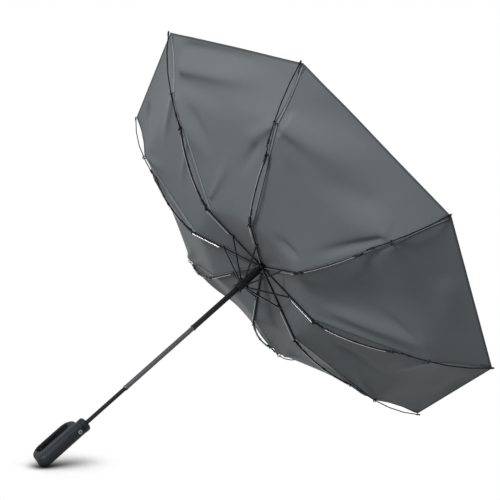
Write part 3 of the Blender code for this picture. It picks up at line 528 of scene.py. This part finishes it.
def softened_seam(softness):
    """The seam's height at every half millimetre, its kinks rounded as cloth is."""
    step = 0.0005
    radii = np.arange(0.0, SEAM_REACH, step)
    heights = np.interp(radii, SEAM[:, 0], SEAM[:, 1])
    end = (SEAM[-1, 1] - SEAM[-2, 1]) / (SEAM[-1, 0] - SEAM[-2, 0])
    beyond = radii > SEAM[-1, 0]
    heights[beyond] = SEAM[-1, 1] + end * (radii[beyond] - SEAM[-1, 0])
    reach = int(4 * softness / step)
    kernel = np.exp(-0.5 * (np.arange(-reach, reach + 1) * step / softness) ** 2)
    padded = np.pad(heights, reach, mode="reflect", reflect_type="odd")
    return radii, np.convolve(padded, kernel / kernel.sum(), mode="valid")


SEAM_RADII, SEAM_HEIGHTS = softened_seam(SEAM_SOFTNESS)
GORE_HEIGHTS = softened_seam(GORE_SOFTNESS)[1]
RIM = SEAM[-1, 0]

# Creases of each gore, counted by its first rib, in millimetres out from the shaft and across from mid gore:
# start, end, width at each and depth, which is negative where the cloth comes towards the handle. They fade
# at both ends, over shares of their length, and are held back along the seams and at the rim.
FOLD_DEPTH = 1.45
CREASE_START = 0.3
CREASE_START_AT_RIB = 0.1
CREASE_END = 0.6
AT_RIB = 0.85
SEAM_HOLD = (0.001, 0.012)
RIM_HOLD = 0.03
RIM_SHARE = 0.35
CREASES = {
    1: [
        (120, 5, 470, 15, 40, 60, 8.0),
        (157, 30, 400, 125, 8, 13, -5.5),
        (414, -60, 398, 110, 14, 16, -3.5),
        (356, 110, 235, 3, 4, 16, 3.0),
        (357, -147, 300, -60, 8, 18, -1.5),
    ],
    2: [
        (356, -147, 314, 19, 4, 12, -3.0),
        (200, -3, 339, 15, 8, 10, 3.0),
        (354, 140, 270, 60, 4, 12, -3.5),
        (428, -130, 436, 120, 9, 9, 3.0),
    ],
    3: [
        (354, -140, 241, -74, 4, 11, -5.0),
        (346, -108, 248, -40, 6, 12, 3.5),
        (426, -130, 435, 130, 9, 9, 4.0),
        (348, 123, 291, 40, 3, 11, -4.0),
    ],
    4: [
        (356, 142, 300, -20, 5, 20, -7.0),
        (372, -115, 322, 50, 8, 16, 5.0),
        (429, -139, 440, 120, 12, 12, 4.0),
        (345, -131, 290, -50, 3, 12, -3.5),
    ],
    5: [
        (350, -135, 262, -60, 4, 12, -5.0),
        (362, 120, 290, 30, 4, 14, -5.0),
        (300, 60, 200, 10, 6, 12, 3.0),
        (424, -120, 432, 135, 9, 9, 4.0),
    ],
    6: [
        (356, 147, 330, -40, 4, 10, -3.5),
        (422, -54, 400, -120, 9, 9, 3.5),
        (273, 112, 236, -57, 4, 8, -2.5),
        (352, -138, 280, -60, 3, 12, -3.5),
    ],
    7: [
        (400, -158, 408, 125, 10, 15, -9.5),
        (374, -150, 352, 40, 7, 14, 3.5),
        (360, -146, 230, -58, 7, 15, -8.0),
        (346, -108, 248, -40, 8, 13, 3.0),
        (426, -155, 436, 155, 10, 11, 8.0),
        (352, 138, 296, 40, 6, 13, -4.5),
        (318, 104, 227, 21, 5, 12, 3.5),
        (167, -60, 278, 15, 3, 12, -3.0),
    ],
    8: [
        (362, -148, 408, 60, 10, 25, -10.0),
        (380, 110, 322, -64, 13, 19, 4.5),
        (357, 140, 285, 10, 16, 24, -3.0),
        (357, 136, 187, 52, 6, 8, 4.5),
        (345, -138, 300, -50, 6, 16, -3.5),
        (172, 53, 164, -30, 4, 10, 4.0),
        (429, -139, 436, 60, 14, 14, 3.2),
    ],
}


def eased(share):
    share = np.clip(share, 0, 1)
    return share * share * (3 - 2 * share)


def crease_field(gore, along, across):
    """Depth of the folds at points of one gore, upwards positive."""
    total = np.zeros_like(along)
    for row in CREASES[gore]:
        rho0, c0, rho1, c1, width0, width1, depth = (value / 1000 for value in row)
        run = np.array((rho1 - rho0, c1 - c0))
        length = np.hypot(*run)
        run = run / length
        down = ((along - rho0) * run[0] + (across - c0) * run[1]) / length
        side = -(along - rho0) * run[1] + (across - c0) * run[0]
        width = width0 + (width1 - width0) * np.clip(down, 0, 1)
        at_rib = abs(c0) > AT_RIB * rho0 * SPREAD
        rise = CREASE_START_AT_RIB if at_rib else CREASE_START
        fade = eased(down / rise) * eased((1 - down) / CREASE_END)
        total += FOLD_DEPTH * depth * fade * np.exp(-0.5 * (side / width) ** 2)
    return total


def cloth(rib, side, x, t):
    """Points of the cloth's middle over one side of a rib; x runs out along the rib, t away from it."""
    s = x + t * SPREAD
    half = s * math.sin(HALF_GORE) * math.cos(HALF_GORE)
    share = np.clip(t / np.maximum(half, 1e-6), 0, 1.4)
    reach = np.sin(np.pi * np.clip(s / RIM, 0, 1) ** SAG_SKEW)
    soft = np.clip(share, 0, 1) ** GORE_ROUNDNESS * np.clip((s - CROWN_START) / CROWN_RUN, 0, 1)
    taut = np.interp(s, SEAM_RADII, SEAM_HEIGHTS)
    height = taut + soft * (np.interp(s, SEAM_RADII, GORE_HEIGHTS) - taut)
    height = height + CLOTH_SAG * reach * np.sin(np.pi / 2 * share)
    gore = rib if side > 0 else (rib - 2) % RIB_COUNT + 1
    radius = np.hypot(x, t)
    angle = side * (np.arctan2(t, x) - HALF_GORE)
    along = radius * np.cos(angle)
    across = radius * np.sin(angle)
    off_rim = np.clip((RIM - s) / RIM_HOLD, 0, 1)
    hold = eased((t - SEAM_HOLD[0]) / SEAM_HOLD[1]) * (RIM_SHARE + (1 - RIM_SHARE) * off_rim)
    height = height + hold * crease_field(gore, along, across)
    turn = rib_turn(rib)
    points = np.stack([
        x * math.cos(turn) - side * t * math.sin(turn),
        x * math.sin(turn) + side * t * math.cos(turn),
        height,
    ], -1)
    return points, np.stack([along, across], -1)


def cloth_normals(rib, side, x, t):
    """The surface's normals to the crown's side."""
    step = 0.0006
    ahead = cloth(rib, side, x + step, t)[0] - cloth(rib, side, x - step, t)[0]
    aside = cloth(rib, side, x, t + step)[0] - cloth(rib, side, x, np.maximum(t - step, 0))[0]
    up = np.cross(ahead, aside)
    up /= np.linalg.norm(up, axis=-1, keepdims=True)
    return np.where(up[..., 2:] < 0, -up, up)


def zone_edges(zone, share):
    """Where a zone starts and ends along the rib, at shares of the way to mid gore."""
    low, high = ZONES[zone][1:3]
    rim = RIM / (1 + share * SPREAD * SPREAD)
    return np.full_like(share, low), rim if high is None else np.full_like(share, high)


def zone_grid(zone, shares):
    low, high = zone_edges(zone, shares)
    rows = np.linspace(0, 1, ZONES[zone][5] + 1)[:, None]
    x = low + rows * (high - low)
    return x, x * shares * SPREAD


def sheet_part(rib, side, x, t, half, lift=0.0):
    """A thin sheet along the cloth, or lift from it on the handle's side, and its flat cut."""
    points, cut = cloth(rib, side, x, t)
    normals = cloth_normals(rib, side, x, t)
    flat = cut.reshape(-1, 2)
    return slab(points - normals * lift, normals, half, side < 0), np.concatenate([flat, flat])


def squash_axis(rib, side, slope):
    """The way in which the cloth beside a rib gathers to it, in its own plane."""
    run = Vector((math.cos(slope), 0, math.sin(slope)))
    out = Vector((-math.sin(HALF_GORE), math.cos(HALF_GORE), 0))
    out = (out - out.dot(run) * run).normalized()
    out.y *= side
    return Matrix.Rotation(rib_turn(rib), 3, "Z") @ out


def carry(made, rib, side, zone):
    """Lets a piece of cloth ride its rib, and gives a piece beside the rib a mesh of its own."""
    body, _, _, slope, keep, _ = ZONES[zone]
    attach(made, f"{body}_{rib}")
    if side:
        tuple(squash_axis(rib, side, slope))
        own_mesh(made)


def lap_over_gore(rib, side, zone):
    """A strip that runs on inside the next rib's cloth, so that mid gore stays closed."""
    shares = np.linspace(1 - LAP_SHARE, 1, LAP_STEPS)
    x, t = zone_grid(zone, shares)
    other = (rib - 1 + side) % RIB_COUNT + 1
    return sheet_part(other, -side, x, t, LAP_HALF)


def laps_along_rib(rib, side, zone, outwards):
    """Strips that run on inside the next zone's cloth, wider towards mid gore and round its corner."""
    other = (rib - 1 + side) % RIB_COUNT + 1
    made = []
    for home, way, shares in (
        (rib, side, np.linspace(0, 1, COLUMNS + 1)),
        (other, -side, np.linspace(1 - CORNER_SHARE, 1, LAP_STEPS)),
    ):
        low, high = zone_edges(zone, shares)
        edge = high if outwards else low
        reach = KNEE_LAP[0] + (KNEE_LAP[1] - KNEE_LAP[0]) * shares
        rows = np.linspace(0, 1, LAP_STEPS) - (0 if outwards else 1)
        x = edge + rows[:, None] * reach
        made.append(sheet_part(home, way, x, x * shares * SPREAD, LAP_HALF))
    return made


def cloth_piece(rib, side, zone):
    """One section of cloth beside a rib with its laps."""
    shares = np.linspace(0, 1, COLUMNS + 1)
    x, t = zone_grid(zone, shares)
    pairs = [sheet_part(rib, side, x, t, CLOTH_HALF), lap_over_gore(rib, side, zone)]
    if zone != "inner":
        pairs += laps_along_rib(rib, side, zone, False)
    if zone != "outer":
        pairs += laps_along_rib(rib, side, zone, True)
    parts = [pair[0] for pair in pairs]
    name = f"cloth_{zone}_{rib}_{'right' if side > 0 else 'left'}"
    made = make(name, parts, CLOTH, [pair[1] for pair in pairs])
    carry(made, rib, side, zone)
    return made


def canopy():
    for rib in range(1, RIB_COUNT + 1):
        for zone in ZONES:
            for side in (-1, 1):
                cloth_piece(rib, side, zone)
    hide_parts("canopy")


def hem(rib, side):
    """The rolled edge of the rim beside one corner, in a darker copy of the cloth as painted shade."""
    shares = np.linspace(0, 1, COLUMNS + 1)
    rim = RIM / (1 + shares * SPREAD * SPREAD)
    inset = np.array(HEM_INSETS)[:, None]
    x = rim - inset * (rim / RIM)
    pair = sheet_part(rib, side, x, x * shares * SPREAD, HEM_HALF)
    made = make(f"hem_{rib}_{'right' if side > 0 else 'left'}", [pair[0]], HEM_PAINTED_SHADE, [pair[1]])
    carry(made, rib, side, "outer")


def seam_band(rib, zone):
    """The felled seam beside the rib: a flat band with a raised middle, in a lighter copy of the cloth as a
    painted highlight, and a dark line beside it.
    """
    low, high = ZONES[zone][1:3]
    high = RIM - SEAM_STOP if high is None else high
    start = SEAM_START if zone == "inner" else low
    rows = np.linspace(start, high, SEAM_ROWS)[:, None]
    pairs = []
    for t0, t1, lift in SEAM_BANDS:
        t = np.linspace(t0, t1, 4)[None, :] + np.zeros_like(rows)
        t = np.minimum(t, rows * SPREAD * SEAM_LIMIT)
        pairs.append(sheet_part(rib, 1, rows + 0 * t, t, SEAM_HALF, lift))
    made = make(f"seam_{zone}_{rib}", [p[0] for p in pairs], BAND_PAINTED_HIGHLIGHT, [p[1] for p in pairs])
    carry(made, rib, 0, zone)
    # A dark line in the thread's colour beside the seam band.
    t0, t1, lift = SEAM_DARK_LINE
    t = np.linspace(t0, t1, 3)[None, :] + np.zeros_like(rows)
    t = np.minimum(t, rows * SPREAD * SEAM_DARK_LINE_LIMIT)
    pair = sheet_part(rib, 1, rows + 0 * t, t, SEAM_DARK_LINE_HALF, lift)
    dark_line = make(f"seam_dark_line_{zone}_{rib}", [pair[0]], THREAD, [pair[1]])
    carry(dark_line, rib, 0, zone)


# Small solids

def in_rib(rib, spot, lane=0.0):
    return around_shaft(rib, spot[0], spot[1], lane)


def lathe(start, end, profile, sides=16):
    """A closed turned solid from start to end, its profile as (share of the way, radius)."""
    axis = end - start
    side = axis.cross(Vector((0, 0, 1)) if abs(axis.normalized().z) < 0.9 else Vector((1, 0, 0))).normalized()
    other = axis.normalized().cross(side)
    verts, faces = [], []
    for share, radius in profile:
        for k in range(sides):
            turn = 2 * math.pi * k / sides
            verts.append(start + share * axis + radius * (math.cos(turn) * side + math.sin(turn) * other))
    for row in range(len(profile) - 1):
        for k in range(sides):
            a, b = row * sides + k, row * sides + (k + 1) % sides
            faces.append((a, a + sides, b + sides, b)[::-1])
    faces.append(tuple(range(sides)))
    faces.append(tuple(range(len(verts) - 1, len(verts) - sides - 1, -1)))
    return verts, faces


def sleeve(start, end, radius, lip):
    """A short tube with rounded ends."""
    share = min(0.4, lip / (end - start).length)
    return lathe(start, end, [
        (0, radius - lip), (share * 0.3, radius - 0.3 * lip), (share, radius),
        (1 - share, radius), (1 - share * 0.3, radius - 0.3 * lip), (1, radius - lip),
    ])


def block(low, high, chamfer):
    """A bar with its upper edges taken off, standing on x = low."""
    (x0, y0, z0), (x1, y1, z1) = low, high
    verts = []
    for x, inset in ((x0, 0.0), (x1 - chamfer, 0.0), (x1, chamfer)):
        left, right, foot, top = y0 + inset, y1 - inset, z0 + inset, z1 - inset
        for y, z in ((left, foot), (right, foot), (right, top), (left, top)):
            verts.append(Vector((x, y, z)))
    faces = [(3, 2, 1, 0), (8, 9, 10, 11)]
    for row in (0, 4):
        for k in range(4):
            faces.append((row + k, row + (k + 1) % 4, row + 4 + (k + 1) % 4, row + 4 + k))
    return verts, faces


def ring(centre, axis, radius, wire, sides=20, around=8):
    """A closed loop of thread or wire."""
    axis = axis.normalized()
    side = axis.cross(Vector((0, 0, 1)) if abs(axis.z) < 0.9 else Vector((1, 0, 0))).normalized()
    other = axis.cross(side)
    verts, faces = [], []
    for k in range(sides):
        turn = 2 * math.pi * k / sides
        out = math.cos(turn) * side + math.sin(turn) * other
        for j in range(around):
            roll = 2 * math.pi * j / around
            verts.append(centre + radius * out + wire * (math.cos(roll) * out + math.sin(roll) * axis))
    for k in range(sides):
        for j in range(around):
            a, b = k * around, (k + 1) % sides * around
            faces.append((a + j, b + j, b + (j + 1) % around, a + (j + 1) % around))
    return verts, faces


def solid(name, shapes, material, body, soft=True):
    """One piece from closed shapes, riding a body."""
    work = bmesh.new()
    for verts, faces in shapes:
        made = [work.verts.new(v) for v in verts]
        for face in faces:
            work.faces.new([made[k] for k in face])
    bmesh.ops.recalc_face_normals(work, faces=work.faces)
    mesh = bpy.data.meshes.new(name)
    work.to_mesh(mesh)
    work.free()
    mesh.polygons.foreach_set("use_smooth", np.full(len(mesh.polygons), soft))
    mesh.materials.append(material)
    made = put(name, mesh)
    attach(made, body)


def bowed(first, second, bow, share):
    """A point of a rod that bows to the handle's side between two points, as (radius, height)."""
    run = Vector(second) - Vector(first)
    dip = 4 * bow * share * (1 - share) / run.length
    return (first[0] + share * run.x + dip * run.y, first[1] + share * run.y - dip * run.x)


def middle_rod(share):
    return bowed(BEND_PIN, OUTER_KNEE, MIDDLE_BOW, share)


def tip_root(share):
    return bowed(OUTER_KNEE, TIE, TIP_ROOT_BOW, share)


def rib_fittings(rib):
    """Crimped sleeves on the rods and the thread ties."""
    shapes = [
        sleeve(in_rib(rib, middle_rod(start)), in_rib(rib, middle_rod(end)), MIDDLE_SLEEVE_RADIUS, SLEEVE_LIP)
        for start, end in MIDDLE_SLEEVES
    ]
    solid(f"rib_sleeves_{rib}", shapes, HARD_BLACK, f"middle_rib_{rib}")
    start, end = (in_rib(rib, tip_root(share), TIP_LANE) for share in TIP_SLEEVE)
    shapes = [sleeve(start, end, TIP_SLEEVE_RADIUS, SLEEVE_LIP)]
    solid(f"tip_sleeve_{rib}", shapes, HARD_BLACK, f"tip_rib_{rib}")
    before = tip_root(0.95)
    out = in_rib(rib, TIE) - in_rib(rib, before)
    loops = []
    for k in (-1, 0, 1):
        spot = Vector(TIE) + TIE_PITCH * k * (Vector(TIE) - Vector(before)).normalized()
        loops.append(ring(in_rib(rib, (spot.x, spot.y + TIE_LIFT), TIP_LANE / 2), out, TIE_REACH, TIE_THREAD))
    solid(f"tie_{rib}", loops, THREAD, f"tip_rib_{rib}")
    inner = in_rib(rib, INNER_TIE)
    out = in_rib(rib, (math.cos(TOP_RIB_SLOPE), math.sin(TOP_RIB_SLOPE))) - in_rib(rib, (0, 0))
    loops = [ring(inner + TIE_PITCH * k * out, out, INNER_TIE_REACH, TIE_THREAD) for k in (-1, 1)]
    solid(f"inner_tie_{rib}", loops, THREAD, f"top_rib_{rib}")


def rib_spot(rib, point):
    """A point of the rib's plane as (radius, height, lane)."""
    turn = rib_turn(rib)
    out = point.x * math.cos(turn) + point.y * math.sin(turn)
    aside = point.y * math.cos(turn) - point.x * math.sin(turn)
    return out, point.z, aside


def bright_wires(rib):
    """Bare steel on the link wire under the top rib and the fold wire under the middle rib."""
    rod = [Vector(middle_rod(k / ROD_STEPS)) for k in range(ROD_STEPS + 1)]
    top = bpy.data.objects[f"top_rib_{rib}"]
    middle = bpy.data.objects[f"middle_rib_{rib}"]
    start = Vector(NOTCH_PIVOT)
    across = Vector((-math.sin(TOP_RIB_SLOPE), math.cos(TOP_RIB_SLOPE)))

    def on_link(spot):
        return (Vector(spot[:2]) - start).dot(across) < -LINK_DEPTH

    def on_fold(spot):
        here = Vector(spot[:2])
        near = min(range(ROD_STEPS + 1), key=lambda k: (rod[k] - here).length)
        clear = math.hypot((rod[near] - here).length, spot[2]) > ROD_CLEARANCE
        share = near / ROD_STEPS
        return clear and FOLD_WIRE_RUN[0] < share < FOLD_WIRE_RUN[1] and abs(share - BEAD_SHARE) > BEAD_HALF

    for node, test in ((top, on_link), (middle, on_fold)):
        node.data.materials.append(WIRE)
        for face in node.data.polygons:
            if test(rib_spot(rib, node.matrix_world @ face.center)):
                face.material_index = 1


def corner_patch(rib):
    """The doubled cloth at a corner, which pockets the rib's tip, in the hem's darker copy of the cloth as
    painted shade.
    """
    pairs = []
    for side in (-1, 1):
        rows = np.linspace(0, 1, 9)[:, None]
        shares = np.linspace(0, 1, 7)[None, :]
        x = RIM - PATCH_START + PATCH_LENGTH * rows + 0 * shares
        t = (PATCH_WIDTH + PATCH_FLARE * rows) * shares
        pairs.append(sheet_part(rib, side, x, t, PATCH_HALF, PATCH_LIFT))
    made = make(f"corner_patch_{rib}", [p[0] for p in pairs], HEM_PAINTED_SHADE, [p[1] for p in pairs])
    carry(made, rib, 0, "outer")


def grip_ridges():
    """The cross ridges on the inner face of the carrying loop."""
    ridges = {"handle": [], "carabiner_gate": []}
    for k in range(RIDGE_COUNT):
        z = RIDGE_START + RIDGE_PITCH * k
        if GATE_GAP[0] < z < GATE_GAP[1] or z > RIDGE_END:
            continue
        body = "handle" if z < GATE_GAP[1] else "carabiner_gate"
        low = (LOOP_INNER_FACE - RIDGE_ROOT, -RIDGE_HALF_WIDTH, z - RIDGE_HALF_HEIGHT)
        high = (LOOP_INNER_FACE + RIDGE_RISE, RIDGE_HALF_WIDTH, z + RIDGE_HALF_HEIGHT)
        ridges[body].append(block(low, high, RIDGE_CHAMFER))
    for body, shapes in ridges.items():
        solid(f"{body}_ridges", shapes, HARD_BLACK, body, False)


def handle_foot():
    """One smooth foot over the grip's end and the loop's end, as the moulding has."""
    node = bpy.data.objects["handle_body"]
    work = bmesh.new()
    for vertex in node.data.vertices:
        x, _, z = vertex.co
        if z < (FOOT_HEIGHT if x > GRIP_SIDE else FOOT_HEIGHT + LOOP_FOOT_RISE):
            work.verts.new(vertex.co)
    bmesh.ops.convex_hull(work, input=work.verts)
    loose = [v for v in work.verts if not v.link_faces]
    bmesh.ops.delete(work, geom=loose, context="VERTS")
    mesh = bpy.data.meshes.new("handle_foot")
    work.to_mesh(mesh)
    work.free()
    mesh.polygons.foreach_set("use_smooth", np.ones(len(mesh.polygons), bool))
    mesh.materials.append(SOFT_BLACK)
    made = put("handle_foot", mesh)
    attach(made, "handle")
    again = made.modifiers.new("again", "REMESH")
    again.mode = "VOXEL"
    again.voxel_size = FOOT_VOXEL
    again.use_smooth_shade = True
    soft = made.modifiers.new("soft", "SMOOTH")
    soft.iterations = FOOT_SMOOTHING
    out = made.modifiers.new("out", "DISPLACE")
    out.strength = FOOT_PROUD
    out.mid_level = 0.0


def button_well():
    """The dark floor round the button, a sheet of painted shade in its recess."""
    verts, faces = [], []
    rings = ((WELL_INNER, 0.0), (WELL_INNER, WELL_LIFT), (WELL_OUTER, WELL_LIFT), (WELL_OUTER, 0.0))
    for radius, lift in rings:
        for k in range(WELL_SIDES):
            turn = 2 * math.pi * k / WELL_SIDES
            height = BUTTON_HEIGHT + radius * math.sin(turn)
            verts.append(Vector((BUTTON_FLOOR + lift, radius * math.cos(turn), height)))
    for row in range(4):
        for k in range(WELL_SIDES):
            a, b, after = row * WELL_SIDES, (row + 1) % 4 * WELL_SIDES, (k + 1) % WELL_SIDES
            faces.append((a + k, a + after, b + after, b + k))
    solid("button_well", [(verts, faces)], PAINTED_SHADE_BLACK, "handle", False)


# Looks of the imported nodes

def dress(name, material, bevel=0.0):
    """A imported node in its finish, with smooth faces and softened edges."""
    node = bpy.data.objects[name]
    for slot in node.material_slots:
        slot.material = material
    node.data.polygons.foreach_set("use_smooth", np.ones(len(node.data.polygons), bool))
    weld = node.modifiers.new("weld", "WELD")
    weld.merge_threshold = WELD_GAP
    if bevel:
        edge = node.modifiers.new("bevel", "BEVEL")
        edge.width = bevel
        edge.segments = 2
        edge.limit_method = "ANGLE"
        edge.angle_limit = BEVEL_ANGLE
    node.modifiers.new("weighted", "WEIGHTED_NORMAL").keep_sharp = False


def frame_looks():
    dress("handle_body", SOFT_BLACK)
    dress("carabiner_gate", SOFT_BLACK)
    dress("handle_collar", HARD_BLACK, 0.0003)
    dress("push_button", BUTTON_METAL, 0.0002)
    dress("gate_pin", DARK_STEEL)
    dress("bottom_tube", BLACK_STEEL)
    dress("middle_tube", GUNMETAL)
    dress("top_tube", BLACK_STEEL)
    dress("top_notch", HARD_BLACK, 0.0002)
    dress("runner", HARD_BLACK, 0.0002)
    dress("crown_cap", HARD_BLACK, 0.0003)
    for rib in range(1, RIB_COUNT + 1):
        dress(f"top_rib_{rib}", BLACK_STEEL, 0.0001)
        dress(f"stretcher_{rib}", BLACK_STEEL, 0.0001)
        dress(f"knuckle_{rib}", HARD_BLACK, 0.0002)
        dress(f"middle_rib_{rib}", FIBRE, 0.0001)
        dress(f"bracket_{rib}", DARK_STEEL, 0.0001)
        dress(f"tip_rib_{rib}", FIBRE, 0.0001)
        bright_wires(rib)


# Room

def wired(tree, kind, links=(), values=(), **settings):
    """A node with its settings, what is linked to its inputs and the values of others."""
    node = tree.nodes.new(kind)
    for key, value in settings.items():
        setattr(node, key, value)
    for socket, output in dict(links).items():
        tree.links.new(output, node.inputs[socket])
    for socket, value in dict(values).items():
        node.inputs[socket].default_value = value
    return node.outputs


def larger(tree, first, second):
    return wired(tree, "ShaderNodeMath", {0: first, 1: second}, operation="MAXIMUM")[0]


def world():
    """A white room to the camera and to shine and glass, and a softer slanted light to the rest."""
    made = bpy.data.worlds.new("studio")
    made.use_nodes = True
    tree = made.node_tree
    rays = wired(tree, "ShaderNodeLightPath")
    seen = larger(tree, rays["Is Camera Ray"], rays["Is Glossy Ray"])
    clear = larger(tree, seen, rays["Is Transmission Ray"])
    way = wired(tree, "ShaderNodeTexCoord")["Generated"]
    slant = wired(tree, "ShaderNodeVectorMath", {0: way}, {1: in_view(AMBIENT_WAY)}, operation="DOT_PRODUCT")
    span = {"From Min": AMBIENT_START, "From Max": 1.0, "To Min": AMBIENT[0], "To Max": AMBIENT[1]}
    sky = wired(tree, "ShaderNodeMapRange", {"Value": slant["Value"]}, span)["Result"]
    level = wired(tree, "ShaderNodeMapRange", {"Value": clear, "To Min": sky}, {"To Max": 1.0})["Result"]
    back = tree.nodes["Background"]
    back.inputs["Color"].default_value = (1, 1, 1, 1)
    tree.links.new(level, back.inputs["Strength"])
    bpy.context.scene.world = made


def key_lamp():
    """A soft box that faces the umbrella."""
    target = Vector(KEY_TARGET)
    data = bpy.data.lights.new("key", "AREA")
    data.shape = "DISK"
    data.size = KEY_SIZE
    data.energy = KEY_POWER
    put("key", data, facing(target + KEY_DISTANCE * in_view(KEY_WAY), target, view_axes()[1]))


def grip_spot():
    """A narrow spot whose shine runs down the grip, turned a little to its loop's side."""
    grip = Vector(SPOT_TARGET)
    seen = (CAMERA_PLACE - grip).normalized()
    shining = Matrix.Rotation(SPOT_TURN, 3, "Z") @ Vector((seen.x, seen.y, 0)).normalized()
    way = 2 * shining.dot(seen) * shining - seen
    data = bpy.data.lights.new("grip_spot", "SPOT")
    data.energy = SPOT_POWER
    data.spot_size = SPOT_CONE
    data.spot_blend = 1.0
    data.shadow_soft_size = SPOT_SIZE
    put("grip_spot", data, facing(grip + SPOT_DISTANCE * way, grip, view_axes()[1]))


def floor():
    """A white glowing disc under the handle with a painted shadow, dark only where the handle keeps the open
    room from it.
    """
    right, up, towards = view_axes()
    normal = (up * math.cos(FLOOR_TILT) + towards * math.sin(FLOOR_TILT)).normalized()
    node = bpy.data.objects["handle_body"]
    low = min((node.matrix_world @ v.co for v in node.data.vertices), key=lambda p: p.dot(normal))
    work = bmesh.new()
    bmesh.ops.create_circle(work, cap_ends=True, segments=96, radius=FLOOR_RADIUS)
    mesh = bpy.data.meshes.new("floor")
    work.to_mesh(mesh)
    work.free()
    basis = Matrix((right, normal.cross(right), normal)).transposed().to_4x4()
    made = put("floor", mesh, Matrix.Translation(low - FLOOR_GAP * normal) @ basis)
    look = bpy.data.materials.new("floor_white_painted_shadow")
    look.use_nodes = True
    tree = look.node_tree
    tree.nodes.remove(tree.nodes["Principled BSDF"])
    near = wired(tree, "ShaderNodeAmbientOcclusion", values={"Distance": SHADOW_REACH})["AO"]
    open_sky = wired(tree, "ShaderNodeMapRange", {"Value": near}, {"From Max": OPEN_SKY})["Result"]
    deep = wired(tree, "ShaderNodeMath", {0: open_sky}, {1: SHADOW_DEPTH}, operation="POWER")[0]
    painted_shadow = wired(tree, "ShaderNodeEmission", {"Color": deep})[0]
    white = wired(tree, "ShaderNodeEmission")[0]
    spot = wired(tree, "ShaderNodeTexCoord")["Object"]
    far = wired(tree, "ShaderNodeVectorMath", {0: spot}, operation="LENGTH")["Value"]
    span = {"From Min": FLOOR_FADE[0] * FLOOR_RADIUS, "From Max": FLOOR_FADE[1] * FLOOR_RADIUS}
    fade = wired(tree, "ShaderNodeMapRange", {"Value": far}, span)["Result"]
    mix = wired(tree, "ShaderNodeMixShader", {0: fade, 1: painted_shadow, 2: white})[0]
    tree.links.new(mix, tree.nodes["Material Output"].inputs["Surface"])
    made.data.materials.append(look)


camera()
world()
bpy.context.scene.view_settings.view_transform = "Standard"
key_lamp()
grip_spot()
floor()
frame_looks()
canopy()
for rib in range(1, RIB_COUNT + 1):
    for side in (-1, 1):
        hem(rib, side)
    for zone in ZONES:
        seam_band(rib, zone)
    rib_fittings(rib)
    corner_patch(rib)
grip_ridges()
handle_foot()
button_well()
